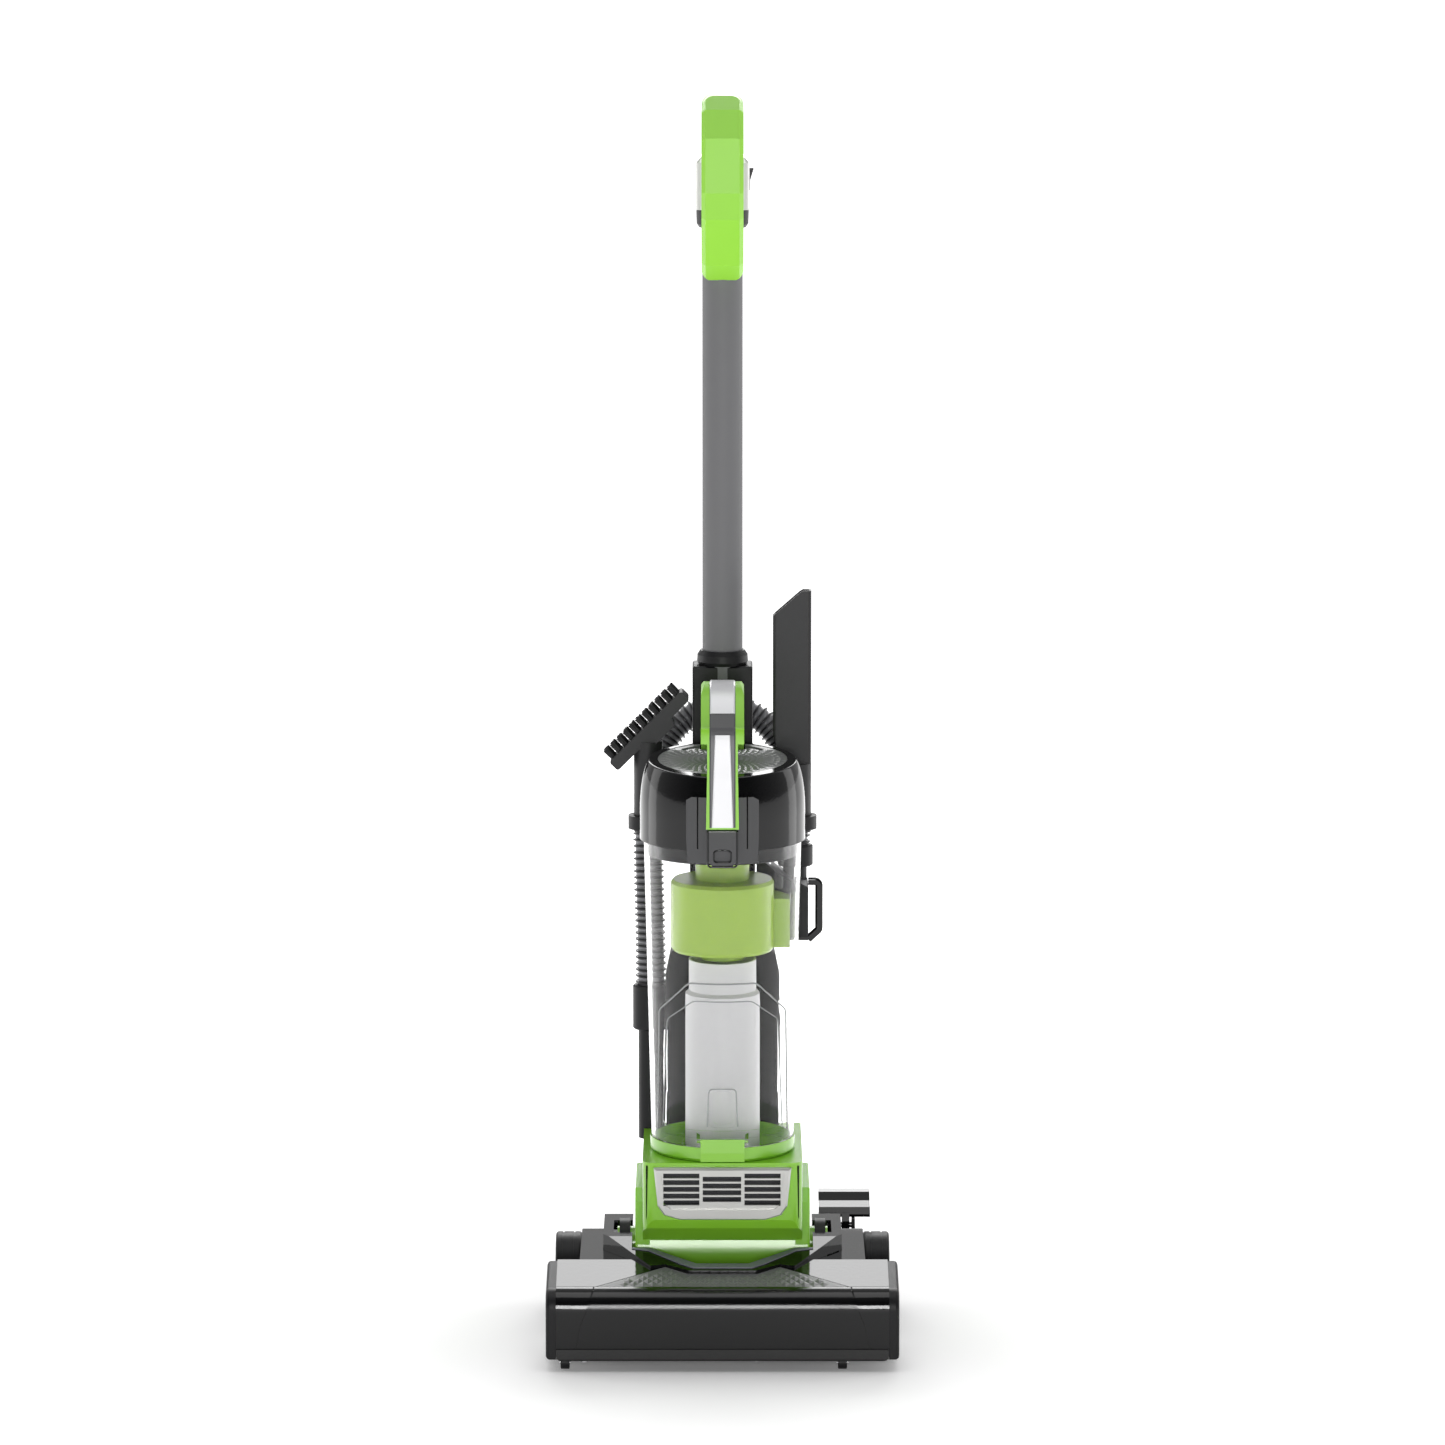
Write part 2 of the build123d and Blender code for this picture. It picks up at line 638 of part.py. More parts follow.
with BuildPart() as motor_housing:
    extrude(body_section(0), amount=BODY_HALF, both=True)
    corner = motor_housing.edges().filter_by(
        lambda e: abs(abs(e.center().X) - BODY_HALF) < 0.1 and e.center().Y < -80 and e.length > 40
        and abs(e.center().Z - 148) < 4
    )
    fillet(corner, radius=12)
    with BuildSketch(Plane.YZ):
        with Locations((PIVOT_Y, PIVOT_Z)):
            Circle(DRUM_R)
    extrude(amount=DRUM_HALF, both=True)
    for side in (-1, 1):
        with BuildSketch(Plane.YZ.offset(side * (BODY_HALF - 6))):
            with BuildLine():
                Polyline((-51, 92), (-54, 132), (-44, 143), (58, 143), (68, 133), (64, 92), close=True)
            make_face()
        extrude(amount=side * (DRUM_HALF - BODY_HALF + 6))
    fillet(motor_housing.faces().sort_by(Axis.X)[0].outer_wire().edges(), radius=2)
    fillet(motor_housing.faces().sort_by(Axis.X)[-1].outer_wire().edges(), radius=2)
    extrude(body_section(WALL), amount=BODY_HALF - WALL, both=True, mode=Mode.SUBTRACT)
    with BuildSketch(Plane.YZ):
        with Locations((PIVOT_Y, PIVOT_Z)):
            Circle(DRUM_R - WALL)
    extrude(amount=DRUM_HALF - WALL, both=True, mode=Mode.SUBTRACT)
    with Locations((0, 75, 132)):
        Box(124, 30, 66, mode=Mode.SUBTRACT)
    with BuildSketch(Plane.YZ):
        with Locations((PIVOT_Y, PIVOT_Z)):
            Circle(TRUNNION_R)
            Circle(TRUNNION_R - WALL, mode=Mode.SUBTRACT)
    extrude(amount=94.5, both=True)
    with BuildSketch(Plane.YZ):
        with Locations((PIVOT_Y, PIVOT_Z)):
            Circle(TRUNNION_R - WALL)
    extrude(amount=100, both=True, mode=Mode.SUBTRACT)
    with Locations((0, PIVOT_Y, PIVOT_Z)):
        Box(2 * (DRUM_HALF - WALL), 31, 31, mode=Mode.SUBTRACT)
    with Locations((0, CUP_Y, BODY_TOP)):
        Cylinder(26, 20, mode=Mode.SUBTRACT)
    with Locations((-66, HOSE_Y, BODY_TOP)):
        Cylinder(10.1, 20, mode=Mode.SUBTRACT)
    with BuildSketch(GRILLE_PLANE.offset(4)):
        with BuildLine():
            Polyline((-56, 20), (-52, -12), (-36, -20), (36, -20), (52, -12), (56, 20), close=True)
        make_face()
    extrude(amount=-14, mode=Mode.SUBTRACT)
save(motor_housing, "motor_housing")

# Rear cover of the motor housing, with cooling slots
with BuildPart() as motor_rear_cover:
    with BuildSketch(Plane.XZ.offset(-76.1)):
        with Locations((0, 133)):
            RectangleRounded(130, 74, 8)
    extrude(amount=-7)
    fillet(motor_rear_cover.faces().sort_by(Axis.Y)[-1].edges(), radius=3)
    with BuildSketch(Plane.XZ.offset(-70)):
        with Locations((0, 133)):
            with GridLocations(0, 7, 1, 6):
                SlotOverall(70, 3)
    extrude(amount=-20, mode=Mode.SUBTRACT)
save(motor_rear_cover, "motor_rear_cover")

# Exhaust grille: bevelled frame with three bays of slats
BEZEL = [(-61, 25), (-57.5, -12), (-52, -21), (-38, -25.5), (38, -25.5), (52, -21), (57.5, -12), (61, 25)]
BAYS = [(-36.5, 32, 5), (-0.5, 34, 4), (35.5, 32, 5)]
with BuildPart() as exhaust_grille:
    with BuildSketch(GRILLE_PLANE.offset(0.2)):
        with BuildLine():
            Polyline(*BEZEL, close=True)
        make_face()
    extrude(amount=3.4)
    outward = Axis(GRILLE_PLANE.origin, GRILLE_PLANE.z_dir)
    chamfer(exhaust_grille.faces().sort_by(outward)[-1].edges(), length=1.6)
    with BuildSketch(GRILLE_PLANE.offset(6)):
        with BuildLine():
            Polyline((-55, 20.5), (-51.5, -10), (-46, -15), (46, -15), (51.5, -10), (55, 20.5), close=True)
        make_face()
    extrude(amount=-4, mode=Mode.SUBTRACT)
    for centre, width, rows in BAYS:
        for row in range(rows):
            height = 17.5 - row * 6.6 - (3.3 if rows == 4 else 0)
            with BuildSketch(GRILLE_PLANE.offset(6)):
                with Locations((centre, height)):
                    Rectangle(width, 4.9)
            extrude(amount=-10, mode=Mode.SUBTRACT)
save(exhaust_grille, "exhaust_grille")

# Foam exhaust filter behind the grille
with BuildPart() as exhaust_filter:
    with BuildSketch(GRILLE_PLANE.offset(-4)):
        with Locations((0, 1)):
            Rectangle(118, 36)
    extrude(amount=-6)
save(exhaust_filter, "exhaust_filter")


def motor_ring(x_start, length, outer, inner):
    """A ring round the motor axis, from x_start towards +X."""
    with BuildPart() as ring:
        with BuildSketch(Plane.YZ.offset(x_start)):
            with Locations((PIVOT_Y, PIVOT_Z)):
                Circle(outer)
                Circle(inner, mode=Mode.SUBTRACT)
        extrude(amount=length)
    return ring


# Motor: laminated stator with two pole windows
motor_stator = motor_ring(-14, 38, 33, 19)
with motor_stator:
    with Locations((5, PIVOT_Y, PIVOT_Z)):
        with GridLocations(0, 52, 1, 2):
            Box(60, 7, 22, mode=Mode.SUBTRACT)
save(motor_stator, "motor_stator")

# Motor bearings in the drum
with BuildPart() as motor_bearings:
    for x in (-22, 46):
        add(motor_ring(x, 8, 11, 5.05).part)
save(motor_bearings, "motor_bearings")

# Shaft with the armature, commutator and belt pulley pressed on
with BuildPart() as motor_shaft:
    for start, end, radius in (
        (-50, 103.5, 5), (-12, 24, 17), (28, 42, 10),
        (BELT_X - 4.5, BELT_X + 4.5, MOTOR_PULLEY_R),
    ):
        with BuildSketch(Plane.YZ.offset(start)):
            with Locations((PIVOT_Y, PIVOT_Z)):
                Circle(radius)
        extrude(amount=end - start)
save(motor_shaft, "motor_shaft")

# Fan impeller: two discs with curved blades between them
with BuildPart() as fan_impeller:
    add(motor_ring(-45, 1.5, 38, 5).part)
    add(motor_ring(-33.5, 1.5, 38, 16).part)
    add(motor_ring(-45, 11, 8, 5).part)
    for blade in range(9):
        turn = math.radians(40 * blade)
        with BuildSketch(Plane.YZ.offset(-44)):
            with BuildLine():
                start = (PIVOT_Y + 9 * math.cos(turn), PIVOT_Z + 9 * math.sin(turn))
                middle = (PIVOT_Y + 24 * math.cos(turn + 0.3), PIVOT_Z + 24 * math.sin(turn + 0.3))
                end = (PIVOT_Y + 37 * math.cos(turn + 0.8), PIVOT_Z + 37 * math.sin(turn + 0.8))
                ThreePointArc(start, middle, end)
                offset(amount=0.8)
            make_face()
        extrude(amount=11)
save(fan_impeller, "fan_impeller")

# Fan housing round the impeller
with BuildPart() as fan_housing:
    add(motor_ring(-49, 22, 44, 40).part)
    add(motor_ring(-27, 3, 44, 12).part)
save(fan_housing, "fan_housing")

# Spine behind the cup, open at the back inside its rim
SPINE_OUTLINE = [
    (-54, BODY_TOP + 0.2), (-54, 318), (-49, 338), (-30, 356), (-30, COLUMN_BOTTOM),
    (30, COLUMN_BOTTOM), (30, 356), (49, 338), (54, 318), (54, BODY_TOP + 0.2),
]
with BuildPart() as body_spine:
    extrude(polygon(SPINE_OUTLINE, Plane.XZ.offset(-SPINE_FRONT)), amount=SPINE_FRONT - SPINE_BACK)
    fillet(body_spine.edges().filter_by(Axis.Z).group_by(Axis.Y)[0], radius=5)
    with BuildSketch(Plane.XZ.offset(-SPINE_FRONT - WALL)) as cavity:
        with BuildLine():
            Polyline(*SPINE_OUTLINE, close=True)
        make_face()
        offset(amount=-WALL, kind=Kind.INTERSECTION)
    extrude(amount=-29, mode=Mode.SUBTRACT)
    with Locations((-66, HOSE_Y, 340)):
        Cylinder(15.6, 160, mode=Mode.SUBTRACT)
    with BuildSketch(Plane.XZ.offset(-70)):
        with Locations((0, 215)):
            Circle(6.1)
        with Locations((0, 250)):
            with GridLocations(0, 9, 1, 3):
                SlotOverall(60, 3)
    extrude(amount=-20, mode=Mode.SUBTRACT)
save(body_spine, "body_spine")

# Gland where the mains lead enters the spine
with BuildPart() as cord_inlet:
    with BuildSketch(Plane.XZ.offset(-SPINE_BACK + 4)):
        with Locations((0, 215)):
            Circle(6)
            Circle(3.7, mode=Mode.SUBTRACT)
    extrude(amount=-9)
    with BuildSketch(Plane.XZ.offset(-SPINE_BACK - 0.1)):
        with Locations((0, 215)):
            Circle(9)
            Circle(3.7, mode=Mode.SUBTRACT)
    extrude(amount=-3)
save(cord_inlet, "cord_inlet")

# Column: square sleeve that holds the handle tube, with the hose cradle on its back
with BuildPart() as column:
    with Locations((0, TUBE_Y + 2.5, (COLUMN_BOTTOM + COLUMN_TOP) / 2)):
        Box(2 * COLUMN_HALF, 40, COLUMN_TOP - COLUMN_BOTTOM - 0.2)
    fillet(column.edges().filter_by(Axis.Z), radius=2)
    chamfer(column.faces().sort_by(Axis.Z)[-1].edges(), length=1.5)
    with Locations((0, TUBE_Y, 560)):
        Cylinder(TUBE_R + 0.05, 120, mode=Mode.SUBTRACT)
    with Locations((0, TUBE_Y, 470)):
        Cylinder(16, 80, mode=Mode.SUBTRACT)
    with BuildSketch(Plane.YZ):
        with BuildLine():
            Polyline(
                (83, 505), (83, 530), (88, 534), (104, 534), (110, 542), (113, 542),
                (113, 533), (106, 526), (92, 523), close=True,
            )
        make_face()
    extrude(amount=9, both=True)
save(column, "column")

# Handle tube with a rolled lower collar
with BuildPart() as handle_tube:
    with BuildSketch(Plane((0, TUBE_Y, TUBE_BOTTOM))):
        Circle(TUBE_R)
        Circle(TUBE_R - 1.5, mode=Mode.SUBTRACT)
    extrude(amount=TUBE_TOP - TUBE_BOTTOM)
save(handle_tube, "handle_tube")

# Collars at the foot and the head of the tube
with BuildPart() as tube_collars:
    with BuildSketch(Plane((0, TUBE_Y, 0), x_dir=(1, 0, 0), z_dir=(0, -1, 0))):
        with BuildLine():
            Polyline(
                (TUBE_R + 0.1, 600.1), (21.5, 600.1), (23, 603), (22.6, 609), (20, 613),
                (TUBE_R + 0.1, 613), close=True,
            )
        make_face()
        with BuildLine():
            Polyline(
                (TUBE_R + 0.1, 993), (21, 993), (23, 996), (23.4, 1006), (23.4, 1009.7),
                (TUBE_R + 0.1, 1009.7), close=True,
            )
        make_face()
    revolve(axis=Axis((0, TUBE_Y, 0), (0, 0, 1)))
save(tube_collars, "tube_collars")

# Switch housing at the top of the tube
with BuildPart() as switch_housing:
    with Locations((0, TUBE_Y, 1033)):
        Box(48, 52, 46)
    fillet(switch_housing.edges().filter_by(Axis.Z), radius=6)
    chamfer(switch_housing.faces().sort_by(Axis.Z)[-1].edges(), length=4)
    with Locations((0, TUBE_Y, 1010)):
        Cylinder(TUBE_R + 0.05, 10, mode=Mode.SUBTRACT)
    with Locations((20, TUBE_Y, 1036)):
        Box(20, 12.6, 22.6, mode=Mode.SUBTRACT)
save(switch_housing, "switch_housing")

# Rocker of the power switch
with BuildPart() as switch_rocker:
    with BuildSketch(Plane.XZ.offset(-TUBE_Y + 5.8)):
        with BuildLine():
            Polyline((14, 1028), (24.4, 1026), (24.6, 1035), (28, 1046), (14, 1044), close=True)
        make_face()
    extrude(amount=-11.6)
    fillet(switch_rocker.edges().filter_by(Axis.Y).group_by(Axis.X)[-1], radius=1)
save(switch_rocker, "switch_rocker")

# Closed grip loop: bowed front strut, top bar and rear strut
GRIP_OUTER = [(44.5, 947), (20, 962), (-18, 1006), (-26, 1030), (-24, 1078), (-6, 1102),
              (24, OVERALL_HEIGHT), (62, OVERALL_HEIGHT - 2), (82, 1098), (88, 1076), (80, 1056.2)]
GRIP_INNER = [(62, 1056.2), (68, 1074), (60, 1087), (26, 1091), (4, 1084), (-6, 1070),
              (-8, 1034), (-2, 1014), (26, 982), (44.5, 974)]
with BuildPart() as handle_grip:
    extrude(polygon(GRIP_OUTER + GRIP_INNER, Plane.YZ), amount=18.5, both=True)
    chamfer(
        handle_grip.faces().filter_by(Axis.X).edges().filter_by(lambda e: e.length > 14),
        length=3.5,
    )
    with BuildSketch(Plane.XZ):
        with Locations((0, OVERALL_HEIGHT - 83)):
            RectangleRounded(37, 166, 11)
    extrude(amount=120, both=True, mode=Mode.INTERSECT)
    with Locations((0, TUBE_Y, 960)):
        Cylinder(TUBE_R + 0.1, 70, mode=Mode.SUBTRACT)
save(handle_grip, "handle_grip")

# ------------------------------------------------------------------ hose and its fittings
# Port elbow behind the cup: takes the air from the hose to the cup's side window
with BuildPart() as hose_port:
    with BuildSketch(Plane.XZ.offset(-24)):
        with BuildLine():
            Polyline((31, 357), (31, 430), (52, 415), (77, 403), (77, 357), close=True)
        make_face()
    extrude(amount=-48)
    fillet(hose_port.edges().filter_by(Axis.Y), radius=2.5)
    with Locations((HOSE_X - 1.5, HOSE_Y, 405)):
        Cylinder(9.5, 24)
    with Locations((0, CUP_Y, 400)):
        Cylinder(CUP_TOP_R + 2.2, 140, mode=Mode.SUBTRACT)
    with Locations((30, 62, 390)):
        Box(30, 34, 100, mode=Mode.SUBTRACT)
    with Locations((54, 42, 380)):
        Box(24, 54, 40, mode=Mode.SUBTRACT)
    with Locations((HOSE_X - 1.5, HOSE_Y, 400)):
        Cylinder(7.5, 50, mode=Mode.SUBTRACT)
save(hose_port, "hose_port")

# Side loop: lower hook for the wound lead
with BuildPart() as side_loop:
    with BuildLine(Plane.XZ.offset(-HOSE_Y)):
        FilletPolyline((77.2, 402), (87, 402), (87, 358), (77.2, 349), radius=4)
    with BuildSketch(Plane((77.2, HOSE_Y, 402), z_dir=(1, 0, 0))):
        RectangleRounded(7, 5.6, 2)
    sweep()
    with Locations((65.8, HOSE_Y, 351.2)):
        Box(22.8, 7, 5.6)
    with Locations((57.4, HOSE_Y + 8, 351.2)):
        Box(6, 12, 5.6)
save(side_loop, "side_loop")

# Lower suction tube on the left
with BuildPart() as lower_tube:
    with BuildSketch(Plane((-66, HOSE_Y, BODY_TOP - 9.8))):
        Circle(10)
        Circle(8.2, mode=Mode.SUBTRACT)
    extrude(amount=LEFT_CUFF_Z[0] + 12 - BODY_TOP + 9.8)
save(lower_tube, "lower_tube")

# Cuffs at the two hose ends
with BuildPart() as hose_cuffs:
    for x, inner, (bottom, top) in ((HOSE_X - 1.5, 9.6, RIGHT_CUFF_Z), (-66, 10.1, LEFT_CUFF_Z)):
        with BuildSketch(Plane((x, HOSE_Y, bottom))):
            Circle(15)
            Circle(inner, mode=Mode.SUBTRACT)
        extrude(amount=top - bottom)
    rims = hose_cuffs.edges().filter_by(GeomType.CIRCLE).filter_by(lambda e: e.radius > 14)
    chamfer(rims, length=1.2)
save(hose_cuffs, "hose_cuffs")

# Stretch hose: inverted U behind the column, from the left cuff to the right cuff
HOSE_ROUTE = [
    (-66, HOSE_Y, LEFT_CUFF_Z[1]), (-66, HOSE_Y, 350), (-67.5, 62.5, 400), (-68.5, 68, 445),
    (-67, 77, 484), (-57, 88, 516), (-40, 97, 541), (-15, 101, 554), (15, 101, 554),
    (40, 97, 541), (56, 89, 518), (65, 79, 498), (67.5, 68, 477),
    (HOSE_X - 1.5, HOSE_Y, 456), (HOSE_X - 1.5, HOSE_Y, RIGHT_CUFF_Z[1]),
]


def arc_radii(route):
    """Largest tangent arc that both runs beside each inner point allow."""
    radii = []
    for before, here, after in zip(route, route[1:], route[2:]):
        run_in = Vector(*here) - Vector(*before)
        run_out = Vector(*after) - Vector(*here)
        half_turn = math.radians(run_in.get_angle(run_out)) / 2
        radii.append(0.45 * min(run_in.length, run_out.length) / math.tan(half_turn))
    return radii


HOSE_RADII = arc_radii(HOSE_ROUTE)
with BuildPart() as stretch_hose:
    with BuildLine():
        hose_line = FilletPolyline(*HOSE_ROUTE, radius=HOSE_RADII)
    with BuildSketch(Plane(hose_line @ 0, z_dir=hose_line % 0)):
        Circle(HOSE_R)
    sweep()
save(stretch_hose, "stretch_hose")
print("hose radii", [round(r) for r in HOSE_RADII], "length", round(hose_line.length))
print("hose volume share", stretch_hose.part.volume / (math.pi * HOSE_R**2 * hose_line.length))

# Tool holder: cross bar with a ring for each tool neck
with BuildPart() as tool_holder:
    height = HOLDER_Z[1] - HOLDER_Z[0]
    middle = sum(HOLDER_Z) / 2
    with Locations((-46, 48, middle), (46, 48, middle)):
        Box(37.9, 5, height)
    with Locations((-TOOL_X, TOOL_Y, middle), (TOOL_X, TOOL_Y, middle)):
        Cylinder(18, height)
    with Locations((-TOOL_X, TOOL_Y, middle), (TOOL_X, TOOL_Y, middle)):
        Cylinder(TOOL_NECK_R + 0.5, 2 * height, mode=Mode.SUBTRACT)
    with Locations((0, CUP_Y, middle)):
        Cylinder(LID_R + 1.4, 40, mode=Mode.SUBTRACT)
    with Locations((HOSE_X - 1.5, HOSE_Y, middle)):
        Cylinder(HOSE_R + 0.6, 40, mode=Mode.SUBTRACT)
save(tool_holder, "tool_holder")

# ------------------------------------------------------------------ dust cup
def cup_shell_between(outer_extra, inner_extra):
    """Conical shell that follows the cup's outer wall, from inner_extra to outer_extra."""
    with BuildPart() as shell:
        with BuildSketch(CUP_PLANE):
            with BuildLine():
                Polyline(
                    (CUP_BOTTOM_R + inner_extra, CUP_BOTTOM_Z), (CUP_BOTTOM_R + outer_extra, CUP_BOTTOM_Z),
                    (CUP_TOP_R + outer_extra, CUP_TOP_Z), (CUP_TOP_R + inner_extra, CUP_TOP_Z), close=True,
                )
            make_face()
        revolve(axis=CUP_AXIS)
    return shell.part


def front_band(outer, inner):
    """A flat band between two outlines, pushed through the front of the cup."""
    with BuildPart() as band:
        with BuildSketch(Plane.XZ.offset(45)):
            with BuildLine():
                FilletPolyline(*outer, close=True, radius=9)
            make_face()
            with BuildLine():
                FilletPolyline(*inner, close=True, radius=7)
            make_face(mode=Mode.SUBTRACT)
        extrude(amount=70)
    return band.part


ARCH_OUTER = [(-58.5, 198), (-56, 314), (-28, 338), (28, 338), (56, 314), (58.5, 198)]
ARCH_INNER = [(-53, 205), (-49, 303), (-26, 322), (26, 322), (49, 303), (53, 205)]
BRACKET_OUTER = [(-14, 208), (-12.5, 245), (12.5, 245), (14, 208)]
BRACKET_INNER = [(-10.5, 211.5), (-9.5, 241), (9.5, 241), (10.5, 211.5)]
CUP_ARCH = cup_shell_between(0.9, -0.5) & front_band(ARCH_OUTER, ARCH_INNER)
CUP_BRACKET = cup_shell_between(1.3, -0.5) & front_band(BRACKET_OUTER, BRACKET_INNER)
with BuildPart() as cup_shell:
    add(cup_shell_between(0, -CUP_WALL))
    add(CUP_ARCH)
    add(CUP_BRACKET)
    with Locations((51, 15, 380)):
        Box(21, 40, 46, mode=Mode.SUBTRACT)
    for x in (-16, 16):
        with BuildSketch(Plane.YZ.offset(x - 2)):
            with BuildLine():
                Polyline(
                    (32, 204), (39.6, 190), (40.6, 181), (35.4, 179.5), (35.4, 190.5), (32, 190.5),
                    close=True,
                )
            make_face()
            with Locations((38, 183)):
                Circle(1.56, mode=Mode.SUBTRACT)
        extrude(amount=4)
    for x in (-21.5, 21.5):
        with BuildSketch(Plane.YZ.offset(x - 1.5)):
            with BuildLine():
                Polyline((-88, 193), (-98.6, 193), (-99.2, 199), (-88, 204), close=True)
            make_face()
            with Locations((-96.8, 196.4)):
                Circle(1.35, mode=Mode.SUBTRACT)
        extrude(amount=3)
save(cup_shell, "cup_shell")

# Dump door: green tray under the cup with a rim, hinge lugs and its own pin
with BuildPart() as dump_door:
    with BuildSketch(CUP_PLANE):
        with BuildLine():
            Polyline(
                (28, DOOR_Z), (62.5, DOOR_Z), (64.6, 179), (64.6, 189.2), (60.8, 189.2),
                (60.8, 179), (28, 179), close=True,
            )
        make_face()
    revolve(axis=CUP_AXIS)
    with Locations((0, 36, 181.5)):
        Box(27, 6, 8)
    with BuildSketch(Plane.YZ):
        with Locations((38, 183)):
            Circle(1.5)
    extrude(amount=18, both=True)
    with BuildSketch(CUP_PLANE):
        with Locations((-37, 182), (37, 182)):
            Rectangle(3, 6)
    extrude(amount=40)
    with Locations((0, CUP_Y, 186)):
        Cylinder(30, 14, mode=Mode.SUBTRACT)
save(dump_door, "dump_door")

# Door latch at the front
with BuildPart() as door_latch:
    with BuildSketch(Plane.YZ):
        with BuildLine():
            Polyline(
                (-95.4, 179), (-98.4, 178), (-99.2, 186), (-98.4, 198), (-96, 198), (-95.4, 193),
                close=True,
            )
        make_face()
    extrude(amount=19.5, both=True)
    fillet(door_latch.edges().filter_by(Axis.X).group_by(Axis.Y)[0], radius=0.8)
    with BuildSketch(Plane.YZ):
        with Locations((-96.8, 196.4)):
            Circle(1.3)
    extrude(amount=22.8, both=True)
save(door_latch, "door_latch")

# Translucent cyclone: ribbed body, neck up to the lid and inlet box at the side
with BuildPart() as cyclone:
    with BuildSketch(CUP_PLANE):
        with BuildLine():
            Polyline(
                (19.5, 349), (19.5, 357), (44, 357), (46, 360), (46, 418), (44, 421), (24, 421),
                (24, 444), (22, 444), (22, 419), (43.8, 419), (43.8, 359), (17.5, 359), (17.5, 349),
                close=True,
            )
        make_face()
    revolve(axis=CUP_AXIS)
    with Locations((50.2, -5, 380)):
        Box(20, 46, 44)
    with Locations((50.2, -3, 380)):
        Box(16.4, 46, 40.4, mode=Mode.SUBTRACT)
    with Locations((0, CUP_Y, 389)):
        Cylinder(43.8, 59.9, mode=Mode.SUBTRACT)
    with BuildSketch(Plane((0, CUP_Y, 349))):
        Circle(19.5)
        Circle(17.5, mode=Mode.SUBTRACT)
    extrude(amount=95)
    with BuildSketch(Plane((0, CUP_Y, 0))):
        Circle(64.8)
    extrude(amount=600, mode=Mode.INTERSECT)
save(cyclone, "cyclone")

# Standpipe up the middle of the cup
with BuildPart() as standpipe:
    with BuildSketch(CUP_PLANE):
        with BuildLine():
            Polyline(
                (31, 180), (33.2, 180), (33.2, 318), (30, 321), (30, 348.5), (28, 348.5),
                (28, 320), (31, 317), close=True,
            )
        make_face()
    revolve(axis=CUP_AXIS)
save(standpipe, "standpipe")

# Pleated filter under the lid
with BuildPart() as foam_filter:
    with BuildSketch(Plane((0, CUP_Y, 462))):
        Circle(52)
        Circle(14, mode=Mode.SUBTRACT)
    extrude(amount=30)
save(foam_filter, "foam_filter")

# Lid: dome cut by a slanting top, with a lip inside the cup
LID_TOP_PLANE = Plane((0, CUP_Y, 529)).rotated((LID_TILT, 0, 0))
with BuildPart() as lid_shell:
    with BuildSketch(CUP_PLANE):
        with BuildLine():
            Line((0, CUP_TOP_Z + 0.2), (LID_R, CUP_TOP_Z + 0.2))
            Line((LID_R, CUP_TOP_Z + 0.2), (LID_R, 484))
            Spline((LID_R, 484), (72.2, 504), (69.5, 519), (64, 531), (54, 538),
                   tangents=[(0, 1), (-1, 0.35)])
            Line((54, 538), (0, 540))
            Line((0, 540), (0, CUP_TOP_Z + 0.2))
        make_face()
    revolve(axis=CUP_AXIS)
    split(bisect_by=LID_TOP_PLANE, keep=Keep.BOTTOM)
    fillet(lid_shell.edges().sort_by(Axis.Z)[-1], radius=2)
    with BuildSketch(LID_TOP_PLANE.offset(-3.2)):
        Circle(57.6)
    extrude(amount=10, mode=Mode.SUBTRACT)
    with BuildSketch(CUP_PLANE):
        with BuildLine():
            Polyline((0, 440), (LID_R - 2.6, 440), (LID_R - 2.6, 500), (62, 514), (0, 514), close=True)
        make_face()
    revolve(axis=CUP_AXIS, mode=Mode.SUBTRACT)
    with BuildSketch(Plane((0, CUP_Y, 444.5))):
        Circle(66.9)
        Circle(64.9, mode=Mode.SUBTRACT)
    extrude(amount=15)
    with BuildSketch(Plane((0, CUP_Y, CUP_TOP_Z + 0.2))):
        Circle(LID_R - 2)
        Circle(53, mode=Mode.SUBTRACT)
    extrude(amount=2.2)
save(lid_shell, "lid_shell")

# Textured disc let into the lid's top, with two finger slots at the back
with BuildPart() as lid_panel:
    with BuildSketch(LID_TOP_PLANE.offset(-3.1)):
        Circle(57.4)
        for angle in (45, 112):
            with BuildLine(mode=Mode.PRIVATE) as slot_line:
                CenterArc((0, 0), 48, angle, 23)
            SlotArc(slot_line.line.edge(), 6, mode=Mode.SUBTRACT)
        with Locations((0, 47)):
            Rectangle(40, 28, mode=Mode.SUBTRACT)
    extrude(amount=2.7)
save(lid_panel, "lid_panel")

# Smoked bracket down the front of the lid that carries the handle's foot
with BuildPart() as lid_bracket:
    with BuildSketch(Plane((0, CUP_Y, 447))):
        Circle(LID_R + 2.2)
        Circle(LID_R + 0.1, mode=Mode.SUBTRACT)
    extrude(amount=64)
    with BuildSketch(Plane.XZ.offset(60)):
        with BuildLine():
            Polyline(
                (-31, 447), (-32, 470), (-32, 503), (-27, 506), (27, 506), (32, 503), (32, 470), (31, 447),
                close=True,
            )
        make_face()
    extrude(amount=80, mode=Mode.INTERSECT)
    with Locations((-22, -104, 490), (22, -104, 490)):
        Box(1.6, 8, 60, mode=Mode.SUBTRACT)
save(lid_bracket, "lid_bracket")

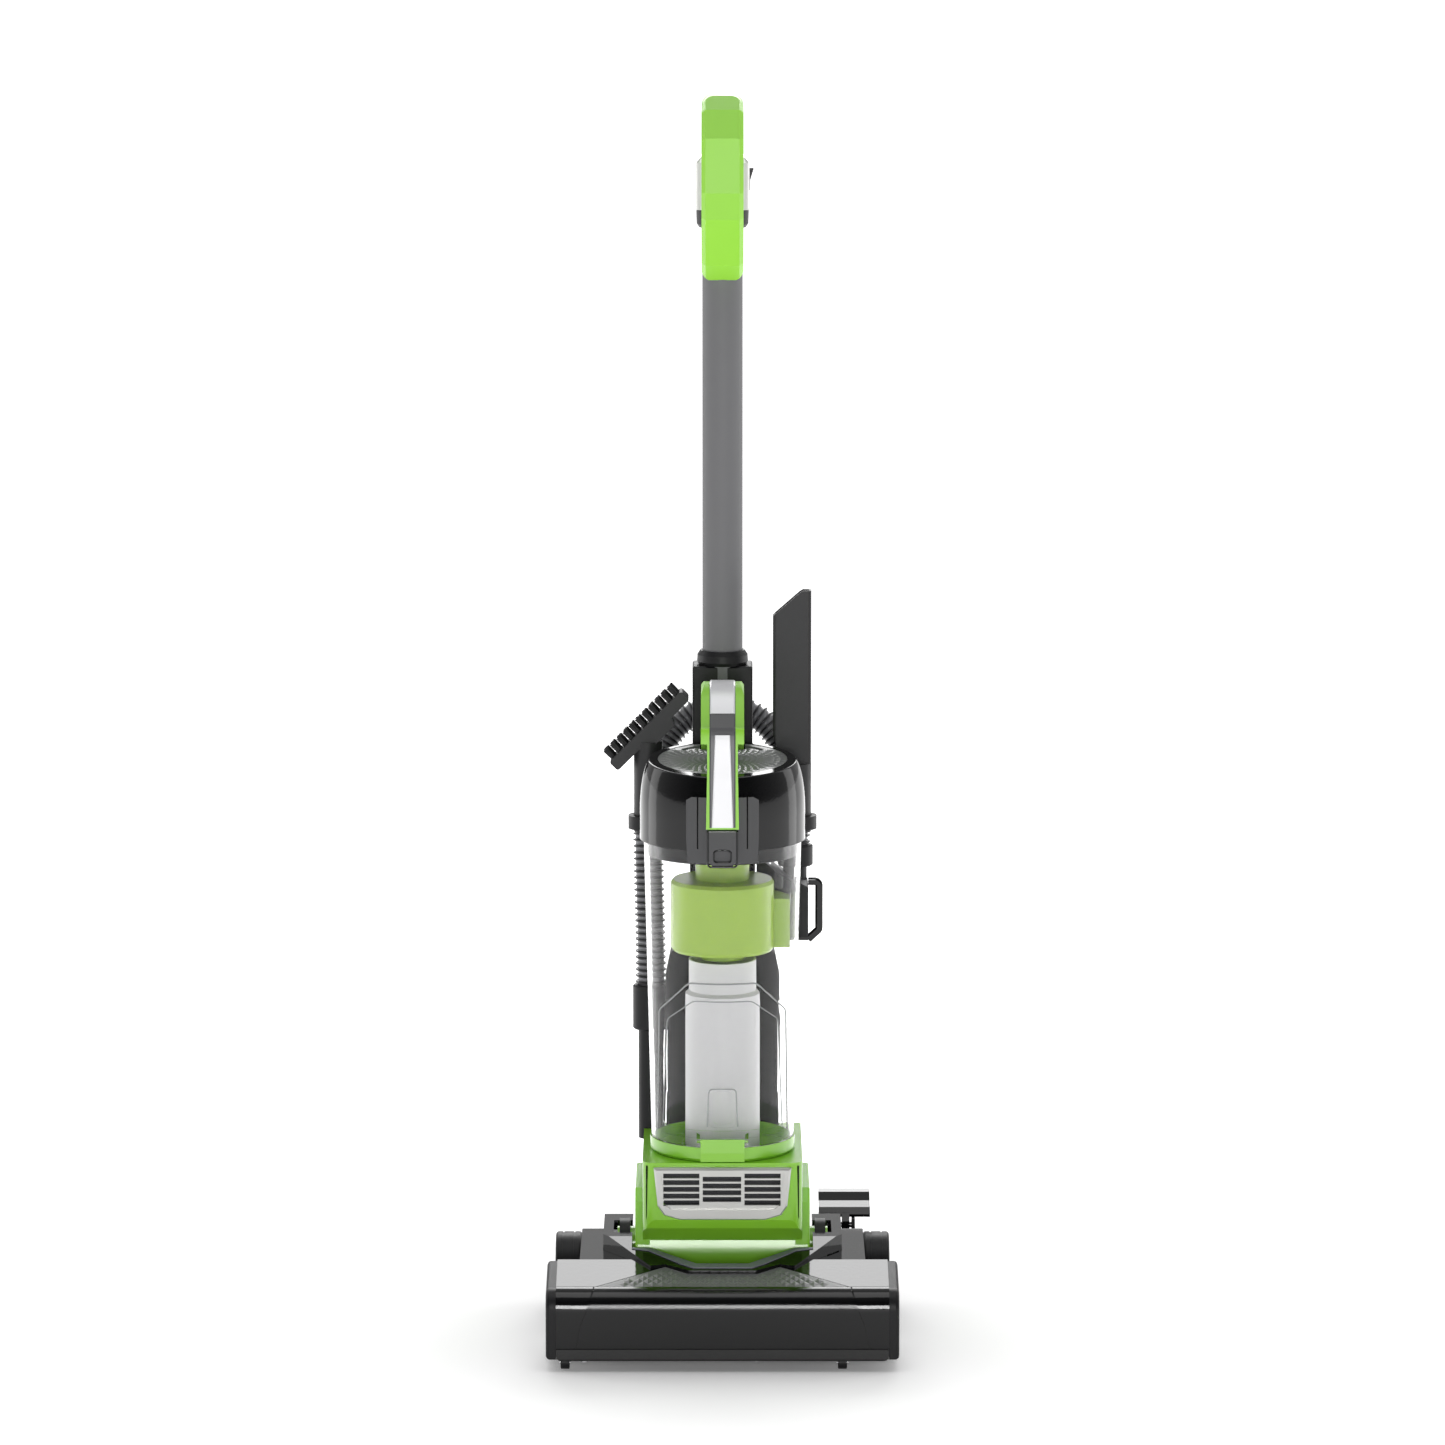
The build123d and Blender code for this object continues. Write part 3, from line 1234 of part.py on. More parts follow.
# Carry handle: arched strap, wide on top and narrow down the front
# The strap's two curves seen from the side
HANDLE_OUTER = [(20, 566), (6, 588), (-24, 597), (-62, 588), (-94, 560), (-112, 524)]
HANDLE_INNER = [(-101, 521), (-82, 547), (-56, 572), (-24, 580), (0, 573), (8, 560)]
with BuildPart() as carry_handle:
    with BuildSketch(Plane.YZ):
        with BuildLine():
            Line((24, 531), (20, 566))
            Spline(*HANDLE_OUTER, tangents=[(-0.15, 1), (-0.1, -1)])
            Line((-112, 524), (-118, 480))
            Line((-118, 480), (-105.8, 479))
            Line((-105.8, 479), (-105.8, 508))
            Line((-105.8, 508), (-101, 521))
            Spline(*HANDLE_INNER, tangents=[(0.3, 1), (0.15, -1)])
            Line((8, 560), (10, 529.8))
            Line((10, 529.8), (24, 531))
        make_face()
    extrude(amount=19, both=True)
    with BuildSketch(Plane.XZ.offset(-40)):
        with BuildLine():
            Polyline(
                (-19, 530), (-19, 590), (-15, 600), (15, 600), (19, 590), (19, 530),
                (13.5, 530), (14.5, 478), (-14.5, 478), (-13.5, 530), close=True,
            )
        make_face()
        with Locations((0, 545)):
            Rectangle(38, 34)
    extrude(amount=170, mode=Mode.INTERSECT)
    with Locations((-20.5, -97.5, 541), (20.5, -97.5, 541)):
        Box(14, 65, 26, mode=Mode.SUBTRACT)
save(carry_handle, "carry_handle")

# Pale inlay along the handle: a broad plate on top and a slim strip down the front
with BuildPart() as handle_inlay:
    with BuildSketch(Plane.YZ):
        with BuildLine():
            Line((-14, 590), (-14, 597.6))
            Spline((-14, 597.6), (-24, 598), (-62.6, 588.9), (-94.9, 560.6), (-113, 524),
                   tangents=[(-1, 0.1), (-0.1, -1)])
            Line((-113, 524), (-119.1, 481))
            Line((-119.1, 481), (-112, 481))
            Line((-112, 481), (-104, 524))
            Line((-104, 524), (-60, 575))
            Line((-60, 575), (-14, 590))
        make_face()
    extrude(amount=12, both=True)
    with BuildSketch(Plane.XZ.offset(0)):
        with BuildLine():
            Polyline((-11.5, 566), (-11.5, 599), (11.5, 599), (11.5, 566), (8, 561), (-8, 561), close=True)
        make_face()
        with BuildLine():
            Polyline((-5.2, 553), (-7, 500), (-8, 481), (8, 481), (7, 500), (5.2, 553), close=True)
        make_face()
    extrude(amount=170, mode=Mode.INTERSECT)
    add(carry_handle.part, mode=Mode.SUBTRACT)
save(handle_inlay, "handle_inlay")

# Cup release button: smoked tab under the handle's foot
with BuildPart() as cup_release:
    with BuildSketch(Plane.XZ.offset(106.3)):
        with BuildLine():
            Polyline((-13, 478.4), (-13, 452), (-9, 446), (9, 446), (13, 452), (13, 478.4), close=True)
        make_face()
    extrude(amount=6.5)
    fillet(cup_release.faces().sort_by(Axis.Y)[0].edges(), radius=1.5)
    with BuildSketch(Plane.XZ.offset(110.8)):
        with Locations((0, 455)):
            RectangleRounded(15, 11, 1.5)
    extrude(amount=4, mode=Mode.SUBTRACT)
save(cup_release, "cup_release")

# ------------------------------------------------------------------ tools on board
# Crevice tool: flat slanted blade on a round neck, hollow all the way
with BuildPart() as crevice_tool:
    with BuildSketch(Plane.XZ.offset(-24)):
        with BuildLine():
            Polyline(
                (53.7, 500), (53.7, 514), (45, 541), (45, 648.5), (69, 669.5),
                (72, 671.2), (79.3, 671.2), (79.3, 500), close=True,
            )
        make_face()
    extrude(amount=-13.5)
    fillet(crevice_tool.edges().filter_by(Axis.Z), radius=3)
    with BuildSketch(Plane((TOOL_X, TOOL_Y, HOLDER_Z[0] - 3))):
        Circle(TOOL_NECK_R - 0.1)
    extrude(amount=62)
    with BuildSketch(Plane.XZ.offset(-26)):
        with BuildLine():
            Polyline(
                (55.8, 505), (55.8, 516), (47.2, 541), (47.2, 700),
                (77.2, 700), (77.2, 505), close=True,
            )
        make_face()
    extrude(amount=-9.5, mode=Mode.SUBTRACT)
    with BuildSketch(Plane((TOOL_X, TOOL_Y, HOLDER_Z[0] - 5))):
        Circle(TOOL_NECK_R - 2.1)
    extrude(amount=58, mode=Mode.SUBTRACT)
save(crevice_tool, "crevice_tool")

# Dusting brush: slanted head with two rows of tufts, on a round neck
BRUSH_TILT = 45
BRUSH_HEAD = Plane((-68.5, 32, 548.7), x_dir=(1, 0, 0), z_dir=(0, -1, 0)).rotated((0, -BRUSH_TILT, 0))
BRUSH_LENGTH = 88.0
TUFT_ROOT = BRUSH_HEAD.origin + BRUSH_HEAD.y_dir * -0.5
TUFT_PLANE = Plane(TUFT_ROOT, x_dir=BRUSH_HEAD.x_dir, z_dir=BRUSH_HEAD.y_dir)
with BuildPart() as dusting_bristles:
    with BuildSketch(TUFT_PLANE):
        with GridLocations(BRUSH_LENGTH / 11, 11, 11, 2):
            RectangleRounded(5, 8.5, 1.5)
    extrude(amount=12)
save(dusting_bristles, "dusting_bristles")

with BuildPart() as dusting_brush:
    with BuildSketch(BRUSH_HEAD.offset(-13)):
        with Locations((0, -4.5)):
            RectangleRounded(BRUSH_LENGTH + 3, 11, 2.5)
        with Locations((2, -12)):
            Trapezoid(44, 10, 115, rotation=0)
    extrude(amount=26)
    with BuildSketch(Plane((-TOOL_X, TOOL_Y, HOLDER_Z[0] - 3))):
        Circle(TOOL_NECK_R - 0.1)
    extrude(amount=82)
    with BuildSketch(Plane((-TOOL_X, TOOL_Y, HOLDER_Z[0] - 4))):
        Circle(TOOL_NECK_R - 2.1)
    extrude(amount=70, mode=Mode.SUBTRACT)
    add(dusting_bristles.part, mode=Mode.SUBTRACT)
save(dusting_brush, "dusting_brush")
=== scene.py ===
import math
import random

import bmesh
import bpy
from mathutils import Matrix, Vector
from mathutils.bvhtree import BVHTree


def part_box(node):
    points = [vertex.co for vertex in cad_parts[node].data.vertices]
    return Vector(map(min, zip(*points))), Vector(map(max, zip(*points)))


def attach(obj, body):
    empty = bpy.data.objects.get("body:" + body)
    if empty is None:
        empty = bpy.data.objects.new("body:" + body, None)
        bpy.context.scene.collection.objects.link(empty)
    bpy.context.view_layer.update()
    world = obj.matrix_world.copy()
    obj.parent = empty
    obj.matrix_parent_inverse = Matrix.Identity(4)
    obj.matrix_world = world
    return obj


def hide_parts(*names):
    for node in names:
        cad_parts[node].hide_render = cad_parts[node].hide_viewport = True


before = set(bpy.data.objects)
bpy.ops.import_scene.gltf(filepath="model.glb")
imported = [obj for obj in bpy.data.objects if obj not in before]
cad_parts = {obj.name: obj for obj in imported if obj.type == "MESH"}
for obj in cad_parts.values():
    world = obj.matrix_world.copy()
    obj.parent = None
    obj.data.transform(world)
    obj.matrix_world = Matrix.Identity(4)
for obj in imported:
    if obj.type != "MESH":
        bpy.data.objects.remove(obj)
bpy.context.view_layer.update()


# ---------------------------------------------------------------- camera and studio
# Long lens a little above the machine, a pale sweep of floor and soft boxes on
# both sides, so that glossy covers pick up broad pale bands along their edges.
camera_data = bpy.data.cameras.new("studio_camera")
camera_data.lens = 181.3
camera_data.sensor_width = 36.0
camera_data.clip_end = 120.0
camera = bpy.data.objects.new("studio_camera", camera_data)
camera.location = (0.0, -6.4, 1.57)
camera.rotation_euler = (math.radians(81.0), 0.0, 0.0)
bpy.context.scene.collection.objects.link(camera)
bpy.context.scene.camera = camera
bpy.context.scene.view_settings.view_transform = "Standard"

floor_half = 45.0
floor_mesh = bpy.data.meshes.new("studio_floor")
floor_mesh.from_pydata(
    [
        (-floor_half, -floor_half, 0), (floor_half, -floor_half, 0),
        (floor_half, floor_half, 0), (-floor_half, floor_half, 0),
    ],
    [],
    [(0, 1, 2, 3)],
)
studio_floor = bpy.data.objects.new("studio_floor", floor_mesh)
studio_floor.location.z = -0.0004
bpy.context.scene.collection.objects.link(studio_floor)

floor_paint = bpy.data.materials.new("floor_paint")
floor_paint.use_nodes = True
floor_shader = floor_paint.node_tree.nodes["Principled BSDF"]
floor_shader.inputs["Base Color"].default_value = (0.92, 0.92, 0.92, 1.0)
floor_shader.inputs["Roughness"].default_value = 0.9
floor_shader.inputs["Specular IOR Level"].default_value = 0.1
floor_shader.inputs["Emission Strength"].default_value = 1.0
# The floor itself glows. Its glow is full from one metre out and fades towards the machine's centre, down
# to a tenth within 0.14 m, as a painted contact shadow round the machine.
floor_place = floor_paint.node_tree.nodes.new("ShaderNodeTexCoord")
floor_reach = floor_paint.node_tree.nodes.new("ShaderNodeVectorMath")
floor_reach.operation = "LENGTH"
floor_glow_painted_shadow = floor_paint.node_tree.nodes.new("ShaderNodeMapRange")
floor_glow_painted_shadow.inputs["From Min"].default_value = 0.14
floor_glow_painted_shadow.inputs["From Max"].default_value = 1.0
floor_glow_painted_shadow.inputs["To Min"].default_value = 0.10
floor_glow_painted_shadow.inputs["To Max"].default_value = 1.0
floor_links = floor_paint.node_tree.links
floor_links.new(floor_place.outputs["Object"], floor_reach.inputs[0])
floor_links.new(floor_reach.outputs["Value"], floor_glow_painted_shadow.inputs["Value"])
floor_links.new(floor_glow_painted_shadow.outputs["Result"], floor_shader.inputs["Emission Color"])
floor_mesh.materials.append(floor_paint)

studio_air = bpy.data.worlds.new("studio_air")
bpy.context.scene.world = studio_air
studio_air.use_nodes = True
air_nodes = studio_air.node_tree.nodes
air_links = studio_air.node_tree.links
air_direction = air_nodes.new("ShaderNodeTexCoord")
air_split = air_nodes.new("ShaderNodeSeparateXYZ")
air_ramp = air_nodes.new("ShaderNodeMapRange")
air_ramp.inputs["From Min"].default_value = -0.75
air_ramp.inputs["From Max"].default_value = 0.35
air_ramp.inputs["To Min"].default_value = 0.02
air_ramp.inputs["To Max"].default_value = 0.55
air_links.new(air_direction.outputs["Generated"], air_split.inputs[0])
air_links.new(air_split.outputs["Y"], air_ramp.inputs["Value"])
air_links.new(air_ramp.outputs["Result"], air_nodes["Background"].inputs["Strength"])
air_nodes["Background"].inputs["Color"].default_value = (1.0, 1.0, 1.0, 1.0)


def soft_box(name, place, target, size, watts):
    """A rectangular lamp that looks at its target."""
    lamp = bpy.data.lights.new(name, "AREA")
    lamp.shape = "RECTANGLE"
    lamp.size, lamp.size_y = size
    lamp.energy = watts
    stand = bpy.data.objects.new(name, lamp)
    stand.location = place
    stand.rotation_euler = (Vector(target) - Vector(place)).to_track_quat("-Z", "Y").to_euler()
    bpy.context.scene.collection.objects.link(stand)


soft_box("top_box", (0.0, -0.3, 3.2), (0.0, 0.0, 0.4), (2.4, 2.0), 27.0)
soft_box("front_box", (0.0, -8.2, 1.9), (0.0, 0.0, 0.6), (0.9, 2.6), 190.0)
soft_box("rear_box", (0.0, 3.2, 2.0), (0.0, 0.0, 0.3), (3.0, 1.5), 60.0)
soft_box("left_box", (-2.0, 0.9, 0.9), (0.0, 0.0, 0.6), (0.8, 2.4), 9.0)
soft_box("right_box", (2.0, 0.9, 0.9), (0.0, 0.0, 0.6), (0.8, 2.4), 9.0)


# ---------------------------------------------------------------- stretch hose
# Ribbed black hose of soft plastic over a wire coil, pressed into a cuff at each
# end. It rises on the left, arches over the cradle and comes down on the right.
def value_node(tree, kind, **settings):
    """A node with its plain settings and unlinked inputs filled in."""
    node = tree.nodes.new(kind)
    for name, value in settings.items():
        if hasattr(node, name):
            setattr(node, name, value)
        else:
            node.inputs[name.replace("_", " ")].default_value = value
    return node


def moulded_skin_group():
    """Grain height, uneven roughness and a slight change of tone for moulded parts."""
    group = bpy.data.node_groups.new("moulded_skin", "ShaderNodeTree")
    sides = group.interface
    sides.new_socket("Colour", in_out="INPUT", socket_type="NodeSocketColor")
    for name, value in (
        ("Grain Size", 0.0008), ("Grain Depth", 1.0), ("Roughness", 0.3),
        ("Roughness Spread", 0.1), ("Tone Spread", 0.08),
    ):
        sides.new_socket(name, in_out="INPUT", socket_type="NodeSocketFloat").default_value = value
    sides.new_socket("Colour", in_out="OUTPUT", socket_type="NodeSocketColor")
    sides.new_socket("Roughness", in_out="OUTPUT", socket_type="NodeSocketFloat")
    sides.new_socket("Height", in_out="OUTPUT", socket_type="NodeSocketFloat")
    given = group.nodes.new("NodeGroupInput")
    made = group.nodes.new("NodeGroupOutput")
    join = group.links.new
    place = group.nodes.new("ShaderNodeTexCoord")
    pitch = value_node(group, "ShaderNodeMath", operation="DIVIDE")
    pitch.inputs[0].default_value = 1.0
    join(given.outputs["Grain Size"], pitch.inputs[1])
    grain = value_node(group, "ShaderNodeTexNoise", Detail=2.0, Roughness=0.55)
    join(place.outputs["Object"], grain.inputs["Vector"])
    join(pitch.outputs[0], grain.inputs["Scale"])
    depth = value_node(group, "ShaderNodeMath", operation="MULTIPLY")
    join(grain.outputs["Fac"], depth.inputs[0])
    join(given.outputs["Grain Depth"], depth.inputs[1])
    join(depth.outputs[0], made.inputs["Height"])
    handled = value_node(group, "ShaderNodeTexNoise", Scale=22.0, Detail=4.0, Roughness=0.6)
    join(place.outputs["Object"], handled.inputs["Vector"])
    centred = value_node(group, "ShaderNodeMath", operation="SUBTRACT")
    centred.inputs[1].default_value = 0.5
    join(handled.outputs["Fac"], centred.inputs[0])
    spread = value_node(group, "ShaderNodeMath", operation="MULTIPLY_ADD")
    join(centred.outputs[0], spread.inputs[0])
    join(given.outputs["Roughness Spread"], spread.inputs[1])
    join(given.outputs["Roughness"], spread.inputs[2])
    limit = group.nodes.new("ShaderNodeClamp")
    join(spread.outputs[0], limit.inputs["Value"])
    join(limit.outputs[0], made.inputs["Roughness"])
    tone = value_node(group, "ShaderNodeMath", operation="MULTIPLY_ADD")
    join(centred.outputs[0], tone.inputs[0])
    join(given.outputs["Tone Spread"], tone.inputs[1])
    tone.inputs[2].default_value = 1.0
    tint = value_node(group, "ShaderNodeHueSaturation")
    join(given.outputs["Colour"], tint.inputs["Color"])
    join(tone.outputs[0], tint.inputs["Value"])
    join(tint.outputs["Color"], made.inputs["Colour"])
    return group


moulded_skin = moulded_skin_group()


def moulded(name, colour, roughness, grain=0.0008, depth=0.1, spread=0.1, tone=0.08, **shader_values):
    """A moulded or painted finish. Colour is linear, grain and bump are in metres."""
    finish = bpy.data.materials.new(name)
    finish.use_nodes = True
    tree = finish.node_tree
    shader = tree.nodes["Principled BSDF"]
    skin = tree.nodes.new("ShaderNodeGroup")
    skin.node_tree = moulded_skin
    skin.inputs["Colour"].default_value = (*colour, 1.0)
    skin.inputs["Grain Size"].default_value = grain
    skin.inputs["Grain Depth"].default_value = 1.0
    skin.inputs["Roughness"].default_value = roughness
    skin.inputs["Roughness Spread"].default_value = spread
    skin.inputs["Tone Spread"].default_value = tone
    bump = tree.nodes.new("ShaderNodeBump")
    bump.inputs["Strength"].default_value = depth
    bump.inputs["Distance"].default_value = grain
    tree.links.new(skin.outputs["Colour"], shader.inputs["Base Color"])
    tree.links.new(skin.outputs["Roughness"], shader.inputs["Roughness"])
    tree.links.new(skin.outputs["Height"], bump.inputs["Height"])
    tree.links.new(bump.outputs["Normal"], shader.inputs["Normal"])
    for socket, value in shader_values.items():
        shader.inputs[socket.replace("_", " ")].default_value = value
    return finish


def dress(finish, *names):
    """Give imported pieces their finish."""
    for name in names:
        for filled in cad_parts[name].material_slots:
            filled.material = finish


def piece(name, mesh, finish, body):
    """Link a finished mesh as a piece that rides on a body."""
    made = bpy.data.objects.new(name, mesh)
    bpy.context.scene.collection.objects.link(made)
    if not mesh.materials:
        mesh.materials.append(finish)
    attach(made, body)
    return made


hose_route = [
    (-0.066, 0.060, 0.3075), (-0.066, 0.060, 0.350), (-0.0675, 0.0625, 0.400),
    (-0.0685, 0.068, 0.445), (-0.067, 0.077, 0.484), (-0.057, 0.088, 0.516),
    (-0.040, 0.097, 0.541), (-0.015, 0.101, 0.554), (0.015, 0.101, 0.554),
    (0.040, 0.097, 0.541), (0.056, 0.089, 0.518), (0.065, 0.079, 0.498),
    (0.0675, 0.068, 0.477), (0.0665, 0.060, 0.456), (0.0665, 0.060, 0.436),
]
rib_pitch = 0.0056
rib_profile = (
    (0.00, 0.0103, 0.0), (0.24, 0.0104, 0.0), (0.32, 0.0112, 0.6), (0.37, 0.0122, 1.0),
    (0.44, 0.0125, 1.0), (0.56, 0.0125, 1.0), (0.63, 0.0122, 1.0), (0.68, 0.0112, 0.6),
    (0.76, 0.0104, 0.0),
)
hose_sides = 40


def smooth_line(points, steps):
    """Points read from a NURBS curve of order 3 with these control points."""
    line = bpy.data.curves.new("route", "CURVE")
    line.dimensions = "3D"
    line.resolution_u = steps
    strand = line.splines.new("NURBS")
    strand.points.add(len(points) - 1)
    for spot, place in zip(strand.points, points):
        spot.co = (*place, 1.0)
    strand.order_u = 3
    strand.use_endpoint_u = True
    holder = bpy.data.objects.new("route", line)
    bpy.context.scene.collection.objects.link(holder)
    bpy.context.view_layer.update()
    read = bpy.data.meshes.new_from_object(holder.evaluated_get(bpy.context.evaluated_depsgraph_get()))
    found = [spot.co.copy() for spot in read.vertices]
    bpy.data.meshes.remove(read)
    bpy.data.objects.remove(holder)
    bpy.data.curves.remove(line)
    return found


def stepped(points, offsets):
    """Place and direction at each distance along a row of points."""
    found = []
    run = 0.0
    start = 0
    for wanted in offsets:
        while start < len(points) - 2 and run + (points[start + 1] - points[start]).length < wanted:
            run += (points[start + 1] - points[start]).length
            start += 1
        span = points[start + 1] - points[start]
        share = (wanted - run) / span.length
        found.append((points[start] + span * share, span.normalized()))
    return found


def tube_along(name, stations, radii, sides, tones=None):
    """A closed tube mesh through the stations, with a radius and a tone at each."""
    mesh = bpy.data.meshes.new(name)
    build = bmesh.new()
    side = Vector((0.0, 1.0, 0.0))
    rings = []
    for (place, direction), radius in zip(stations, radii):
        side = (side - direction * side.dot(direction)).normalized()
        across = direction.cross(side)
        rings.append([
            build.verts.new(place + (side * math.cos(turn) + across * math.sin(turn)) * radius)
            for turn in (2 * math.pi * index / sides for index in range(sides))
        ])
    for low, high in zip(rings, rings[1:]):
        for index in range(sides):
            after = (index + 1) % sides
            build.faces.new((low[index], low[after], high[after], high[index]))
    build.faces.new(list(reversed(rings[0])))
    build.faces.new(rings[-1])
    for face in build.faces:
        face.smooth = True
    bmesh.ops.recalc_face_normals(build, faces=build.faces)
    build.to_mesh(mesh)
    build.free()
    if tones:
        crest = mesh.attributes.new("crest", "FLOAT", "POINT")
        crest.data.foreach_set("value", [tone for tone in tones for _ in range(sides)])
    return mesh


hose_line = smooth_line(hose_route, 24)
hose_run = sum((b - a).length for a, b in zip(hose_line, hose_line[1:]))
rib_count = round(hose_run / rib_pitch)
hose_offsets = []
hose_radii = []
hose_tones = []
for rib in range(rib_count):
    for share, radius, tone in rib_profile:
        hose_offsets.append((rib + share) * hose_run / rib_count)
        hose_radii.append(radius)
        hose_tones.append(tone)
hose_offsets.append(hose_run)
hose_radii.append(rib_profile[0][1])
hose_tones.append(0.0)
hose_rubber = moulded("hose_rubber", (0.008, 0.008, 0.009), 0.30, grain=0.0006, depth=0.12, spread=0.12)
hose_stations = stepped(hose_line, hose_offsets)
hose_mesh = tube_along("stretch_hose_ribbed", hose_stations, hose_radii, hose_sides, hose_tones)
hose_tree = hose_rubber.node_tree
# The valleys between the ribs are painted grey as a painted highlight on the black hose, and the crests
# keep the black.
hose_crest = value_node(hose_tree, "ShaderNodeAttribute", attribute_name="crest")
hose_valley_highlight_mix = value_node(hose_tree, "ShaderNodeMix", data_type="RGBA")
hose_valley_highlight_mix.inputs["A"].default_value = (0.16, 0.16, 0.17, 1.0)
hose_skin = next(node for node in hose_tree.nodes if node.type == "GROUP")
hose_tree.links.new(hose_crest.outputs["Fac"], hose_valley_highlight_mix.inputs["Factor"])
hose_tree.links.new(hose_skin.outputs["Colour"], hose_valley_highlight_mix.inputs["B"])
hose_tree.links.new(hose_valley_highlight_mix.outputs["Result"], hose_tree.nodes["Principled BSDF"].inputs["Base Color"])
hose_piece = piece("stretch_hose_ribbed", hose_mesh, hose_rubber, "upright")
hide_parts("stretch_hose")


# ---------------------------------------------------------------- floor head
# Chassis, end caps, brackets, duct, pedal support and wheels are black nylon-filled
# mouldings with a fine spark-eroded grain. The sole plate is screwed on from below.
satin_black = moulded(
    "satin_black", (0.007, 0.007, 0.008), 0.42, grain=0.0007, depth=0.14,
    Specular_IOR_Level=0.26,
)
dress(satin_black, "head_chassis", "sole_plate", "pivot_brackets", "suction_duct")
dress(satin_black, "end_cap_left", "end_cap_right")

bare_steel = moulded("turned_steel", (0.56, 0.56, 0.57), 0.26, grain=0.0004, depth=0.06, Metallic=1.0)
dress(bare_steel, "head_screws", "axle_pins", "brush_bearings")

bumper_rubber = moulded("bumper_rubber", (0.02, 0.02, 0.02), 0.62, grain=0.0009, depth=0.25)
dress(bumper_rubber, "front_bumper")


# ---------------------------------------------------------------- brush roll and belt
# Black polymer core with helical rows of stiff nylon tufts set in drilled holes,
# driven by a ribbed rubber belt from the motor shaft.
brush_nylon = moulded("brush_nylon", (0.06, 0.06, 0.065), 0.5, grain=0.0005, depth=0.4, tone=0.5)
dress(satin_black, "brush_core")
dress(brush_nylon, "brush_bristles")
belt_rubber = moulded("belt_rubber", (0.03, 0.03, 0.03), 0.7, grain=0.0006, depth=0.3)
dress(belt_rubber, "drive_belt")


# ---------------------------------------------------------------- glossy head covers
# Nozzle cover and V-shaped deck are high-gloss black mouldings that snap over the
# chassis. A grey trim strip edges the well that the motor drum turns in.
gloss_black = moulded(
    "gloss_black", (0.004, 0.004, 0.0045), 0.09, grain=0.004, depth=0.012, spread=0.05,
    Specular_IOR_Level=0.36,
)
dress(gloss_black, "nozzle_cover", "rear_deck")
trim_grey = moulded("trim_grey", (0.19, 0.20, 0.23), 0.42, grain=0.0007, depth=0.1)
dress(trim_grey, "deck_trim")


# ---------------------------------------------------------------- knurled deck panel
# Satin grey insert with a pressed diamond knurl, let into the nozzle cover between
# two narrow grooves. Each diamond is a low four-sided point.
knurl_grey = moulded("knurl_grey", (0.16, 0.16, 0.163), 0.33, grain=0.0006, depth=0.1)
deck_edge_y = -0.1305
panel_finish = knurl_grey.copy()
panel_finish.name = "panel_finish"
panel_tree = panel_finish.node_tree
panel_place = panel_tree.nodes.new("ShaderNodeTexCoord")
panel_split = panel_tree.nodes.new("ShaderNodeSeparateXYZ")
panel_top = value_node(panel_tree, "ShaderNodeMath", operation="GREATER_THAN")
panel_top.inputs[1].default_value = deck_edge_y
panel_mix = value_node(panel_tree, "ShaderNodeMix", data_type="RGBA")
panel_mix.inputs["A"].default_value = (0.004, 0.004, 0.0045, 1.0)
panel_gloss = value_node(panel_tree, "ShaderNodeMapRange")
panel_gloss.inputs["To Min"].default_value = 0.10
panel_gloss.inputs["To Max"].default_value = 0.36
panel_skin = next(node for node in panel_tree.nodes if node.type == "GROUP")
panel_shader = panel_tree.nodes["Principled BSDF"]
panel_shader.inputs["Specular IOR Level"].default_value = 0.36
panel_tree.links.new(panel_place.outputs["Object"], panel_split.inputs[0])
panel_tree.links.new(panel_split.outputs["Y"], panel_top.inputs[0])
panel_tree.links.new(panel_top.outputs[0], panel_mix.inputs["Factor"])
panel_tree.links.new(panel_top.outputs[0], panel_gloss.inputs["Value"])
panel_tree.links.new(panel_skin.outputs["Colour"], panel_mix.inputs["B"])
panel_tree.links.new(panel_mix.outputs["Result"], panel_shader.inputs["Base Color"])
panel_tree.links.new(panel_gloss.outputs["Result"], panel_shader.inputs["Roughness"])
dress(panel_finish, "deck_panel")


def surface_of(*names):
    """Ray-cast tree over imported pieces."""
    corners = []
    sides = []
    for name in names:
        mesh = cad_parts[name].data
        first = len(corners)
        corners.extend(spot.co.copy() for spot in mesh.vertices)
        sides.extend([first + index for index in face.vertices] for face in mesh.polygons)
    return BVHTree.FromPolygons(corners, sides)


def knurl(name, surface, cells, rise, direction):
    """Low diamond points over the cells whose four corners all meet the surface."""
    build = bmesh.new()
    down = Vector(direction)
    for middle, cell in cells:
        hits = [surface.ray_cast(Vector(spot) - down * 0.05, down, 0.1) for spot in (middle, *cell)]
        if any(hit[0] is None for hit in hits):
            continue
        normal = hits[0][1]
        if any(hit[1].dot(normal) < 0.97 or normal.dot(down) > -0.3 for hit in hits):
            continue
        tip = build.verts.new(hits[0][0] + normal * rise)
        ring = [build.verts.new(hit[0] + normal * 0.00004) for hit in hits[1:]]
        for index in range(len(ring)):
            build.faces.new((ring[index], ring[(index + 1) % len(ring)], tip))
        build.faces.new(list(reversed(ring)))
    bmesh.ops.recalc_face_normals(build, faces=build.faces)
    mesh = bpy.data.meshes.new(name)
    build.to_mesh(mesh)
    build.free()
    return mesh


